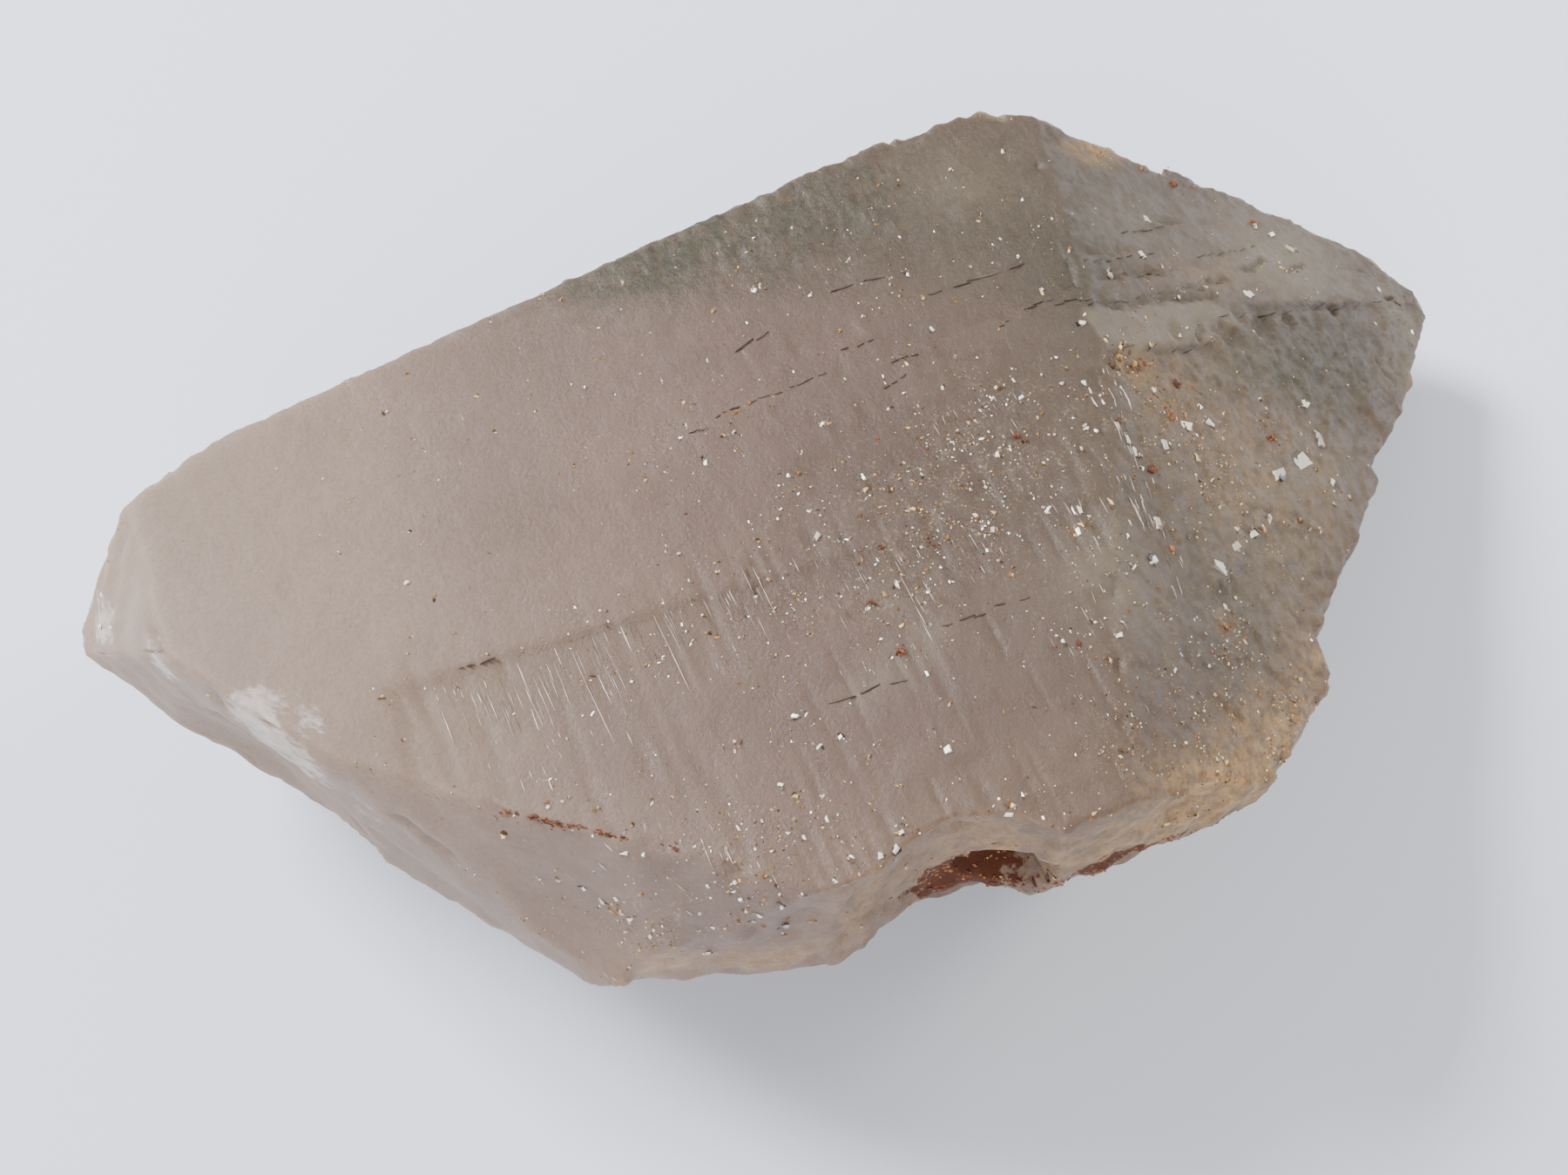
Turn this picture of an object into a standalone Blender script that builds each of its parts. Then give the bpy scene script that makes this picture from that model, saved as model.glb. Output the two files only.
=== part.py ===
"""One broken smoky quartz crystal lying on a flat underside.

Metres, +Z up. +X runs along the crystal's long axis towards its blunt point, and -Y is its
broken front. The origin ends up at the bottom centre of the bounding box. The crystal grew and
broke as one piece, so it is one closed solid: a block cut by one plane for each crystal face and
each break, then carved by growth ledges, conchoidal scoops, notches, cracks, striations, etch
pits and edge chips, with low etch tablets grown onto its faces.
"""

import math
import random

import bmesh
import bpy
from mathutils import Matrix, Vector

NAME = "smoky_quartz"
MM = 0.001
SEED = 12

# Driving dimensions, in millimetres.
THICKNESS = 25.0  # from the flat underside to the uppermost prism face
LEFT_END = -34.5  # x of the uppermost face's edge at the broken end
TIP = 50.9  # x of the blunt point
TIP_HEIGHT = 7.5  # height of the blunt point above the underside
FRONT = -27.9  # y of the front wall
BACK = 14.0  # y of the uppermost face's back edge, mid length
RIDGE_START = (20.4, -2.4)  # where the ridge between the two termination faces meets the top
GIRDLE = 15.0  # height of the front's widest line, below which the sides turn inwards
BLOCK = 140.0  # edge of the rough block that the faces are cut from
LAYER = 0.35  # drop from one growth layer of the uppermost face to the next
STRIATION_SPACING = 0.62  # mean distance between striations along the crystal
OVERSHOOT = 2.0  # how far a cutter stands out of the face that it cuts
GROOVE_LIFT = 0.15  # a groove cutter's widest line above the face, in groove widths

# Each crystal face or break: its name, the compass direction it looks in, how far it leans over
# (0 looks up, 90 is a wall, 180 looks down) and a point that it passes through.
FACES = (
    ("top", 0.0, 0.0, (0.0, 0.0, THICKNESS)),
    ("far termination", -12.4, 32.0, (*RIDGE_START, THICKNESS)),
    ("near termination", -23.6, 35.1, (*RIDGE_START, THICKNESS)),
    ("blunt point", 0.0, 88.0, (TIP, 4.0, TIP_HEIGHT)),
    ("point, back chip", 42.0, 82.0, (49.6, 6.0, 8.4)),
    ("back prism", 97.8, 65.0, (-9.0, BACK, THICKNESS)),
    ("back prism, rounded end", 90.0, 68.0, (20.0, 17.3, THICKNESS)),
    ("back corner", 62.0, 72.0, (23.2, 16.5, THICKNESS)),
    ("back of the point", 58.5, 72.0, (25.2, 16.1, 24.6)),
    ("broken end, upper", 178.0, 63.0, (LEFT_END, 5.0, THICKNESS)),
    ("broken end, back", 118.0, 76.0, (-33.4, 9.6, THICKNESS)),
    ("broken end, lower", 172.0, 118.0, (-39.6, 8.0, 13.6)),
    ("front left break", -149.0, 89.0, (-36.2, 1.2, GIRDLE)),
    ("front break", -144.0, 89.0, (-23.5, -17.2, GIRDLE)),
    ("front slope", -128.0, 64.0, (-18.3, -18.3, THICKNESS)),
    ("front wall, left", -105.0, 93.0, (-9.4, -26.8, GIRDLE)),
    ("front wall, right", -90.0, 93.0, (12.0, FRONT, GIRDLE)),
    ("right corner wall", -57.0, 92.0, (24.7, -23.9, 16.0)),
    ("back prism, lower", 97.0, 118.0, (0.0, 22.0, 10.5)),
    ("back of the point, lower", 62.0, 122.0, (28.0, 20.2, 8.0)),
    ("broken end, back, lower", 116.0, 122.0, (-37.3, 13.4, 11.5)),
    ("under the point", -5.0, 138.0, (TIP, 4.0, TIP_HEIGHT - 0.6)),
    ("right side, lower", -50.8, 118.0, (50.4, 2.3, 7.0)),
    ("right corner, lower", -64.0, 117.0, (24.4, -24.1, GIRDLE)),
    ("front right, lower", -92.0, 117.0, (10.0, FRONT, GIRDLE)),
    ("front left, lower", -108.0, 122.0, (-10.0, -26.6, GIRDLE)),
    ("front break, lower", -143.0, 120.0, (-23.5, -17.2, GIRDLE - 1.0)),
    ("left break, lower", -152.0, 124.0, (-34.8, -1.4, GIRDLE - 1.5)),
    ("underside", 0.0, 180.0, (0.0, 0.0, 0.0)),
)

# Growth ledges: each is cut on the left of a line, looking from its start to its end, down to a
# floor. They are the line's two ends, the depth of the floor below the top at each end, how much
# the floor rises per millimetre away from the line, and how far it reaches.
LEDGES = (
    ("back strip", (-3.9, 1.5), (27.0, 2.3), 0.0, LAYER, 0.0, 22.0),
    ("striated band", (8.5, -9.6), (-24.0, -7.7), 0.25, 0.25, 0.03, 9.0),
    ("stair 1", (18.5, -2.9), (17.0, -9.4), 0.45, 0.75, 0.0, 6.0),
    ("stair 2", (14.2, -10.9), (14.6, -15.2), 0.40, 0.50, 0.0, 6.0),
    ("stair 3", (17.6, -10.3), (16.4, -16.6), 1.60, 1.90, 0.0, 5.0),
    ("stair 4", (12.3, -16.4), (10.9, -23.4), 0.45, 0.60, 0.0, 6.0),
    ("stair 5", (15.4, -18.2), (13.6, -25.2), 1.90, 2.30, 0.0, 5.0),
    ("stair 6", (22.4, -4.4), (20.8, -9.7), 1.75, 2.10, 0.0, 5.0),
)

# Conchoidal scoops: an ellipsoid's centre and its half lengths.
SCOOPS = (
    ("front bay", (-0.4, -31.4, 17.0), (7.0, 6.1, 22.0)),
    ("front bay, left end", (-5.2, -30.6, 17.0), (4.9, 4.0, 24.0)),
    ("front bay, undercut", (0.6, -27.4, 6.3), (8.8, 5.2, 8.6)),
    ("rust hollow", (3.3, -26.0, 17.4), (2.6, 1.9, 1.6)),
    ("left break", (-45.2, -14.6, 14.5), (18.0, 18.0, 16.0)),
    ("front slope", (-27.2, -32.2, 26.2), (15.8, 15.8, 15.8)),
    ("front wall", (-13.0, -37.8, 18.0), (11.5, 11.5, 10.0)),
    ("right wall", (14.0, -34.4, 20.5), (7.5, 6.9, 6.0)),
    ("left underside", (-47.0, -10.5, -2.6), (20.0, 20.0, 20.0)),
    ("front underside", (-13.8, -33.8, -0.5), (15.4, 15.4, 15.4)),
    ("back underside", (-14.0, 36.6, -4.4), (21.8, 21.8, 21.8)),
    ("right underside", (41.5, -27.5, 0.5), (17.0, 17.0, 17.0)),
    ("broken end", (-52.5, 13.5, 24.5), (15.6, 15.6, 15.6)),
)

# Notches in the outline: the inner corner, the compass direction in which the cut runs on and how
# far it runs. The cut takes all that lies on the right of that line.
NOTCHES = (
    ("side notch by the point", (38.2, -8.7), 36.0, 16.0),
    ("side notch by the corner", (26.9, -19.7), 41.0, 16.0),
    ("shoulder behind the point", (33.3, 12.3), 157.0, 34.0),
    ("nick in the front corner", (-17.3, -24.0), -15.0, 16.0),
)
NOTCH_LEAN = 0.06  # how far a notch's walls lean, as a slope

# Cracks and troughs along the crystal: the face, the two ends and the width at the surface.
CRACKS = (
    ("top", (-3.8, 1.3), (-1.6, 1.4), 0.5),
    ("top", (-1.1, 1.9), (3.4, 2.6), 0.4),
    ("top", (4.6, 3.4), (6.3, 3.6), 0.35),
    ("top", (9.0, 3.3), (11.2, 3.4), 0.4),
    ("top", (7.8, 5.2), (9.4, 5.6), 0.35),
    ("top", (8.9, 1.2), (10.4, 1.5), 0.3),
    ("top", (15.3, 3.6), (16.6, 3.8), 0.35),
    ("top", (16.9, 4.3), (19.0, 4.6), 0.4),
    ("far termination", (23.4, 3.0), (26.2, 3.9), 0.8),
    ("far termination", (25.4, 5.6), (29.0, 5.9), 0.7),
    ("far termination", (27.0, 8.3), (30.4, 8.9), 0.6),
    ("far termination", (27.6, 3.1), (33.6, 3.3), 0.6),
    ("far termination", (31.6, 6.6), (36.4, 7.4), 0.5),
    ("far termination", (35.6, 4.6), (41.8, 5.4), 0.5),
    ("near termination", (26.0, -3.4), (31.0, -2.2), 0.5),
    ("near termination", (30.6, -12.4), (33.6, -9.8), 0.6),
)

# Fields of striations across the crystal: first and last x, near and far y, shortest and longest.
STRIATED = (
    (-23.4, -8.6, -15.4, -8.1, 3.0, 6.6),
    (-8.2, 3.4, -17.0, -8.4, 1.6, 4.6),
    (3.6, 13.4, -21.5, -10.2, 1.2, 4.2),
    (-17.0, -7.4, -24.5, -20.6, 0.8, 1.8),
)

# Etch pits: the face, how many, the first and last x, the smallest and largest radius, and the
# compass direction that they all point in.
PITTED = (
    ("top", 46, -8.0, 20.0, 0.22, 0.45, -23.0),
    ("far termination", 22, 24.0, 48.0, 0.28, 0.55, -12.0),
    ("near termination", 48, 12.0, 50.0, 0.28, 0.75, -24.0),
    ("front slope", 16, -30.0, -6.0, 0.3, 0.7, -128.0),
    ("back prism", 28, -34.0, 20.0, 0.3, 0.8, 97.0),
    ("back prism, lower", 14, -34.0, 20.0, 0.3, 0.8, 97.0),
)

# Etch tablets: the face, the place, length and width.
TABLETS = (
    ("near termination", (32.7, -8.8), 1.7, 1.1),
    ("near termination", (30.4, -9.8), 1.0, 0.7),
    ("near termination", (35.2, -7.3), 1.0, 0.8),
    ("near termination", (34.4, -10.3), 0.9, 0.5),
    ("near termination", (22.0, -8.4), 1.2, 0.6),
    ("near termination", (21.9, -15.9), 1.1, 0.7),
    ("near termination", (23.9, -14.3), 1.2, 0.6),
    ("near termination", (26.2, -13.0), 0.9, 0.6),
    ("near termination", (24.5, -5.6), 0.9, 0.6),
    ("near termination", (35.4, -4.6), 1.0, 0.6),
    ("far termination", (34.7, 1.9), 1.3, 0.7),
    ("far termination", (40.6, 8.3), 1.2, 0.7),
    ("far termination", (31.0, 9.6), 0.9, 0.5),
)
TABLET_HEIGHT = 0.22

# Chips along the edges: shortest and longest distance between them, the radius of the scooped
# facet and how deep it bites.
CHIP_SPACING = (1.2, 5.0)
CHIP_RADIUS = (1.3, 3.0)
CHIP_DEPTH = (0.12, 0.38)


def direction(compass, lean=90.0):
    """The unit vector that looks in a compass direction and leans over from straight up."""
    turn = math.radians(compass)
    tilt = math.radians(lean)
    level = math.sin(tilt)
    return Vector((level * math.cos(turn), level * math.sin(turn), math.cos(tilt)))


NORMALS = {name: direction(compass, lean) for name, compass, lean, _point in FACES}
POINTS = {name: Vector(point) for name, _compass, _lean, point in FACES}


def on_face(face, x, y):
    """The point of a face straight above or below (x, y), in millimetres."""
    normal = NORMALS[face]
    through = POINTS[face]
    drop = normal.x * (x - through.x) + normal.y * (y - through.y)
    return Vector((x, y, through.z - drop / normal.z))


def well_inside(point, face, margin):
    """True where a face's point is farther than a margin behind every other face's plane."""
    others = (name for name in NORMALS if name != face)
    return all(NORMALS[name].dot(point - POINTS[name]) < -margin for name in others)


def frame_at(centre, along, normal):
    """A matrix with X along a direction, Z along a normal and its origin at a point in mm."""
    z = normal.normalized()
    x = (along - z * along.dot(z)).normalized()
    turn = Matrix((x, z.cross(x), z)).transposed()
    return Matrix.Translation(centre * MM) @ turn.to_4x4()


def add_box(bm, frame, size):
    """A box of a size in mm, centred on a frame."""
    scale = Matrix.Diagonal((*(Vector(size) * MM), 1.0))
    bmesh.ops.create_cube(bm, size=1.0, matrix=frame @ scale)


def add_groove(bm, face, start, end, width):
    """A box standing on its edge, which cuts a groove of V section half as deep as it is wide."""
    lift = NORMALS[face] * width * GROOVE_LIFT
    first = on_face(face, *start) + lift
    last = on_face(face, *end) + lift
    side = width * (1.0 + 2.0 * GROOVE_LIFT) / math.sqrt(2.0)
    edge_on = Matrix.Rotation(math.radians(45.0), 4, "X")
    frame = frame_at((first + last) / 2.0, last - first, NORMALS[face]) @ edge_on
    add_box(bm, frame, ((last - first).length, side, side))


def add_pit(bm, face, place, radius, compass):
    """A three-sided cone pointing into a face, the way quartz etches."""
    depth = radius * 0.7
    rise = depth * 0.4
    centre = on_face(face, *place) + NORMALS[face] * (rise - depth) / 2.0
    bmesh.ops.create_cone(
        bm,
        cap_ends=True,
        segments=3,
        radius1=radius * 0.1 * MM,
        radius2=radius * (depth + rise) / depth * MM,
        depth=(depth + rise) * MM,
        matrix=frame_at(centre, direction(compass), NORMALS[face]),
    )


def rough_crystal():
    """A cube cut by every face in turn, each cut closed with its own flat face."""
    bm = bmesh.new()
    bmesh.ops.create_cube(bm, size=BLOCK * MM)
    for name in NORMALS:
        cut = bmesh.ops.bisect_plane(
            bm,
            geom=bm.verts[:] + bm.edges[:] + bm.faces[:],
            plane_co=POINTS[name] * MM,
            plane_no=NORMALS[name],
            clear_outer=True,
        )
        rim = [item for item in cut["geom_cut"] if isinstance(item, bmesh.types.BMEdge)]
        bmesh.ops.contextual_create(bm, geom=rim)
    bmesh.ops.recalc_face_normals(bm, faces=bm.faces[:])
    return bm


def ledge(start, end, start_depth, end_depth, rise, reach):
    """A box of air whose lowest edge is the ledge's line and whose floor rises away from it."""
    bm = bmesh.new()
    first = Vector((*start, THICKNESS - start_depth))
    last = Vector((*end, THICKNESS - end_depth))
    along = last - first
    floor = Vector((-along.y, along.x, along.length * rise)).normalized()
    normal = along.cross(floor).normalized()
    height = OVERSHOOT + max(start_depth, end_depth)
    centre = (first + last) / 2.0 + floor * reach / 2.0 + normal * height / 2.0
    add_box(bm, frame_at(centre, along, normal), (along.length, reach, height))
    return bm


def scoop(centre, half_lengths):
    """An ellipsoid: a faceted sphere, stretched."""
    bm = bmesh.new()
    stretch = Matrix.Diagonal((*(Vector(half_lengths) * MM), 1.0))
    matrix = Matrix.Translation(Vector(centre) * MM) @ stretch
    bmesh.ops.create_uvsphere(bm, u_segments=40, v_segments=22, radius=1.0, matrix=matrix)
    return bm


def notch(corner, compass, reach):
    """A tall box, leaning a little, with one upright edge at the notch's inner corner."""
    bm = bmesh.new()
    along = direction(compass)
    outward = direction(compass - 90.0)
    centre = Vector((*corner, THICKNESS / 2.0)) + (along + outward) * reach / 2.0
    lean = Vector((0.0, 0.0, 1.0)) + outward * NOTCH_LEAN
    add_box(bm, frame_at(centre, along, lean), (reach, reach, THICKNESS * 3.0))
    return bm


def striations(chance):
    """Short grooves side by side in each striated field, one or two to a line."""
    bm = bmesh.new()
    for first_x, last_x, near, far, shortest, longest in STRIATED:
        x = first_x
        while x < last_x:
            top = far - chance.uniform(0.0, 0.4) * (far - near)
            length = min(chance.uniform(shortest, longest), top - near)
            face = "front slope" if near < -20.0 and x < -7.0 else "top"
            start = on_face(face, x, top)
            end = on_face(face, x + chance.uniform(-0.05, 0.05), top - length)
            if all(well_inside(point, face, 0.3) for point in (start, end)):
                width = chance.uniform(0.24, 0.42)
                add_groove(bm, face, start.xy, end.xy, width)
            x += STRIATION_SPACING * chance.uniform(0.75, 1.5)
    return bm


def etch_pits(chance):
    """Three-sided pits strewn over the etched faces, none touching another."""
    bm = bmesh.new()
    placed = []
    for face, count, first_x, last_x, smallest, largest, compass in PITTED:
        wanted = len(placed) + count
        for _try in range(count * 60):
            x = chance.uniform(first_x, last_x)
            y = chance.uniform(-29.0, 25.0)
            point = on_face(face, x, y)
            radius = chance.uniform(smallest, largest)
            clear = all((point - other).length > radius + size + 0.3 for other, size in placed)
            if clear and well_inside(point, face, radius + 0.3):
                add_pit(bm, face, (x, y), radius, compass)
                placed.append((point, radius))
            if len(placed) == wanted:
                break
    return bm


def tablets():
    """Low boxes that stand on the faces and lean, so that each catches the light."""
    bm = bmesh.new()
    for face, place, length, width in TABLETS:
        lean = NORMALS[face] + direction(-100.0) * 0.14
        frame = frame_at(on_face(face, *place), direction(78.0), lean)
        add_box(bm, frame, (length, width, TABLET_HEIGHT * 2.0))
    return bm


def edge_chips(rough, chance):
    """Rough balls of air that scoop small conchoidal chips out of the edges above the base."""
    bm = bmesh.new()
    for edge in rough.edges:
        first, last = (vert.co / MM for vert in edge.verts)
        length = (last - first).length
        if min(first.z, last.z) < 1.0 or length < 4.0:
            continue
        outward = sum((face.normal for face in edge.link_faces), Vector()).normalized()
        travel = chance.uniform(0.6, 2.6)
        while travel < length - 0.6:
            radius = chance.uniform(*CHIP_RADIUS)
            depth = chance.uniform(*CHIP_DEPTH)
            centre = first.lerp(last, travel / length) + outward * (radius - depth)
            lean = Vector([chance.uniform(-1.0, 1.0) for _axis in range(3)])
            frame = frame_at(centre, last - first, outward + lean)
            bmesh.ops.create_icosphere(bm, subdivisions=2, radius=radius * MM, matrix=frame)
            travel += radius + chance.uniform(*CHIP_SPACING)
    return bm


def quartz_material():
    """Milky smoky quartz: pale grey-brown, not metallic, with an etched, half matt surface."""
    material = bpy.data.materials.new("smoky_quartz_etched")
    material.use_nodes = True
    shader = material.node_tree.nodes["Principled BSDF"]
    shader.inputs["Base Color"].default_value = (0.33, 0.26, 0.22, 1.0)
    shader.inputs["Roughness"].default_value = 0.45
    shader.inputs["Metallic"].default_value = 0.0
    shader.inputs["IOR"].default_value = 1.544
    return material


def mesh_object(name, bm, collection):
    """An object of a bmesh, which is freed, in a collection."""
    bmesh.ops.recalc_face_normals(bm, faces=bm.faces[:])
    mesh = bpy.data.meshes.new(name)
    bm.to_mesh(mesh)
    bm.free()
    made = bpy.data.objects.new(name, mesh)
    collection.objects.link(made)
    return made


def carve(crystal, name, bm, cutters, operation="DIFFERENCE", touching=False):
    """One Boolean modifier on the crystal, with its cutter kept as a hidden wire object."""
    cutter = mesh_object(name, bm, cutters)
    cutter.hide_render = True
    cutter.display_type = "WIRE"
    modifier = crystal.modifiers.new(name, "BOOLEAN")
    modifier.object = cutter
    modifier.operation = operation
    modifier.use_self = touching


def settle(crystal):
    """Applies the carving and moves the bottom centre of the bounding box to the origin."""
    depsgraph = bpy.context.evaluated_depsgraph_get()
    carved = bpy.data.meshes.new_from_object(crystal.evaluated_get(depsgraph))
    crystal.modifiers.clear()
    crystal.data = carved
    low = Vector([min(vert.co[axis] for vert in carved.vertices) for axis in range(3)])
    high = Vector([max(vert.co[axis] for vert in carved.vertices) for axis in range(3)])
    middle = (low + high) / 2.0
    carved.transform(Matrix.Translation((-middle.x, -middle.y, -low.z)))


def main():
    for old in list(bpy.data.objects):
        bpy.data.objects.remove(old, do_unlink=True)
    crystals = bpy.data.collections.new(NAME)
    cutters = bpy.data.collections.new("cutters")
    bpy.context.scene.collection.children.link(crystals)
    bpy.context.scene.collection.children.link(cutters)
    chance = random.Random(SEED)

    rough = rough_crystal()
    chips = edge_chips(rough, chance)
    crystal = mesh_object(NAME, rough, crystals)
    for name, *measures in LEDGES:
        carve(crystal, name, ledge(*measures), cutters)
    for name, centre, half_lengths in SCOOPS:
        carve(crystal, name, scoop(centre, half_lengths), cutters)
    for name, *measures in NOTCHES:
        carve(crystal, name, notch(*measures), cutters)
    cracks = bmesh.new()
    for crack in CRACKS:
        add_groove(cracks, *crack)
    carve(crystal, "edge chips", chips, cutters, touching=True)
    carve(crystal, "tablets", tablets(), cutters, "UNION")
    carve(crystal, "cracks", cracks, cutters)
    carve(crystal, "striations", striations(chance), cutters)
    carve(crystal, "etch pits", etch_pits(chance), cutters)
    settle(crystal)
    crystal.data.materials.clear()
    crystal.data.materials.append(quartz_material())


main()
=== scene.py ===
"""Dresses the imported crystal: an etched, milky smoky quartz lying on its flat underside.

The crystal's own drawing is in millimetres, with +X along the long axis towards the blunt point,
-Y towards the broken front and the underside at z = 0. Its bounding box is not centred there, so
every mesh is moved by the box's middle when it is made, and from metres on it shares the frame of
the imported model.
"""

import itertools
import math

import bpy
import numpy as np
from bpy.props import FloatProperty, FloatVectorProperty, IntProperty, PointerProperty
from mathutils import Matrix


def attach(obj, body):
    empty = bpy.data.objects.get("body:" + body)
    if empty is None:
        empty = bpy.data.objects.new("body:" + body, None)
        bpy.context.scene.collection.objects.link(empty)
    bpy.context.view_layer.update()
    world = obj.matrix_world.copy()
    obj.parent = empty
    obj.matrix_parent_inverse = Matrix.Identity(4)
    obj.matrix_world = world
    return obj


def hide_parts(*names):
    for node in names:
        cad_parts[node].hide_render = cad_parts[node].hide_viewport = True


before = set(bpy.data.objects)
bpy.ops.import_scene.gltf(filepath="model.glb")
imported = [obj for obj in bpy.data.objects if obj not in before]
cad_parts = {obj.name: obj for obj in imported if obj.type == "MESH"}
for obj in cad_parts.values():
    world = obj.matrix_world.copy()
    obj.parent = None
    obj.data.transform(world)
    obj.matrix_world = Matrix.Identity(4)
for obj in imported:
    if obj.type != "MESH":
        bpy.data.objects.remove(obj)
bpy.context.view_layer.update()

bl_info = {
    "name": "Smoky quartz crystal",
    "version": (1, 0, 0),
    "blender": (4, 5, 0),
    "location": "3D View > Sidebar > Quartz",
    "description": "Builds an etched smoky quartz crystal from its faces, breaks and etch marks",
    "category": "Add Mesh",
}

NODE = "smoky_quartz"
MM = 0.001
SEED = 4  # of the random draws and of the wobble of lines in plan
MIDDLE = np.array([5.481, -2.697, 0.0])  # of the bounding box, in the drawing's millimetres
THICKNESS = 25.0  # height of the uppermost prism face
FIRST_X = -39.93  # the crystal's first and last cross section
LAST_X = 50.88
SECTIONS = 420
POINT_SHARE = 2.0  # how much closer the sections stand towards the point than at the broken end
AROUND = 230  # points around each section
CAP_RINGS = 3  # shrinking rings that close each end
FACING_SHARES = (0.35, 1.6, 3.4)  # how close the points stand on the underside, walls and top
FINE_ANGLES = 900  # rays that each section is measured with
WORN_SHARE = 0.14  # of the edge sharpness that is left at the broken end
EDGE_WIDTH = 0.02  # of the band that counts as an edge, as a part of the radius
TINY = 1e-9  # keeps a division from zero
STEP_FADE = 2.5  # mm from a low step to where its drop has faded to a third
RIPPLE_SOURCE = np.array([-60.0, -46.0, 60.0])  # the far point that the ripples run round
RIPPLE_LENGTH = 2.6  # from one ripple to the next
MARK_CORNERS = 8  # of each small plate: four below and four above
CRUMB_PLATES = 4  # plates that make up a crumb of golden film
CRYSTAL_PLATES = 5  # and a crystal of rust
UPPER = 0.35  # least normal.z of the skin that takes marks placed in plan
ON_STONE = 0.5  # mm that such a place may lie from the nearest skin point
MOST_TILT = 0.8
UNEVEN = (0.5, 1.2)  # how far a plate's corners are drawn in or out
SUNK, PROUD = -0.6, 0.4  # shares of a plate's height below and above the skin
SLIM = 2.2  # a facet that is this many times longer than wide lies along the striations
BRIGHT_TONE = 0.65  # tones above it are painted glints, on facets turned to face the light
ALONG_Y = 0.5 * np.pi
QUARTZ_IOR = 1.544

# Each crystal face or break: the compass direction it looks in, how far it leans over (0 looks
# up, 90 is a wall, 180 looks down) and a point that it passes through.
FACES = (
    (0, 0, (0, 0, 25)),  # uppermost prism face
    (-12.4, 32, (20.4, -2.4, 25)),  # far termination
    (-23.6, 35.1, (20.4, -2.4, 25)),  # near termination
    (0, 88, (50.9, 4, 7.5)),  # blunt point
    (42, 82, (49.6, 6, 8.4)),  # back chip of the point
    (97.8, 65, (-9, 14, 25)),  # back prism face
    (90, 68, (20, 17.3, 25)),  # its rounded end
    (62, 72, (23.2, 16.5, 25)),  # back corner
    (58.5, 72, (25.2, 16.1, 24.6)),  # back of the point
    (178, 63, (-34.5, 5, 25)),  # broken end, upper
    (118, 76, (-33.4, 9.6, 25)),  # broken end, back
    (172, 118, (-39.6, 8, 13.6)),  # broken end, lower
    (-149, 89, (-36.2, 1.2, 15)),  # front left break
    (-144, 89, (-23.5, -17.2, 15)),  # front break
    (-128, 64, (-18.3, -18.3, 25)),  # front slope
    (-105, 93, (-9.4, -26.8, 15)),  # front wall, left
    (-90, 93, (12, -27.9, 15)),  # front wall, right
    (-57, 92, (24.7, -23.9, 16)),  # right corner wall
    (97, 118, (0, 22, 10.5)),  # back prism face, lower
    (62, 122, (28, 20.2, 8)),  # back of the point, lower
    (116, 122, (-37.3, 13.4, 11.5)),  # broken end, back, lower
    (-5, 138, (50.9, 4, 6.9)),  # under the point
    (-50.8, 118, (50.4, 2.3, 7)),  # right side, lower
    (-64, 117, (24.4, -24.1, 15)),  # right corner, lower
    (-92, 117, (10, -27.9, 15)),  # front right, lower
    (-108, 122, (-10, -26.6, 15)),  # front left, lower
    (-143, 120, (-23.5, -17.2, 14)),  # front break, lower
    (-152, 124, (-34.8, -1.4, 13.5)),  # left break, lower
    (0, 180, (0, 0, 0)),  # underside
)

# Conchoidal scoops: an ellipsoid's centre and half lengths.
SCOOPS = (
    ((-0.4, -31.4, 17), (7, 6.1, 22)),  # front bay
    ((-5.2, -30.6, 17), (4.9, 4, 24)),  # its left end
    ((0.6, -27.4, 6.3), (8.8, 5.2, 8.6)),  # its undercut
    ((3.3, -26, 17.4), (2.6, 1.9, 1.6)),  # rust hollow
    ((-45.2, -14.6, 14.5), (18, 18, 16)),  # left break
    ((-27.2, -32.2, 26.2), (15.8, 15.8, 15.8)),  # front slope
    ((-13, -37.8, 18), (11.5, 11.5, 10)),  # front wall
    ((14, -34.4, 20.5), (7.5, 6.9, 6)),  # right wall
    ((-47, -10.5, -2.6), (20, 20, 20)),  # left underside
    ((-13.8, -33.8, -0.5), (15.4, 15.4, 15.4)),  # front underside
    ((-14, 36.6, -4.4), (21.8, 21.8, 21.8)),  # back underside
    ((41.5, -27.5, 0.5), (17, 17, 17)),  # right underside
    ((-52.5, 13.5, 24.5), (15.6, 15.6, 15.6)),  # broken end
)

# Notches in the outline: the inner corner, the compass direction the cut runs on, and its length.
NOTCHES = (
    ((38.2, -8.7), 36, 16), ((26.9, -19.7), 41, 16), ((33.3, 12.3), 157, 34),
    ((-17.3, -24), -15, 16),
)

# The line that the rays of the cross sections start from: x, y and z.
CENTRE_LINE = np.array((
    (-40, 8.5, 13.5), (-30, 3, 13), (-20, 0, 12.5), (0, -3, 12), (20, -2, 11), (40, 2, 8.5),
    (50.9, 4, 7.3),
))

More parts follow.
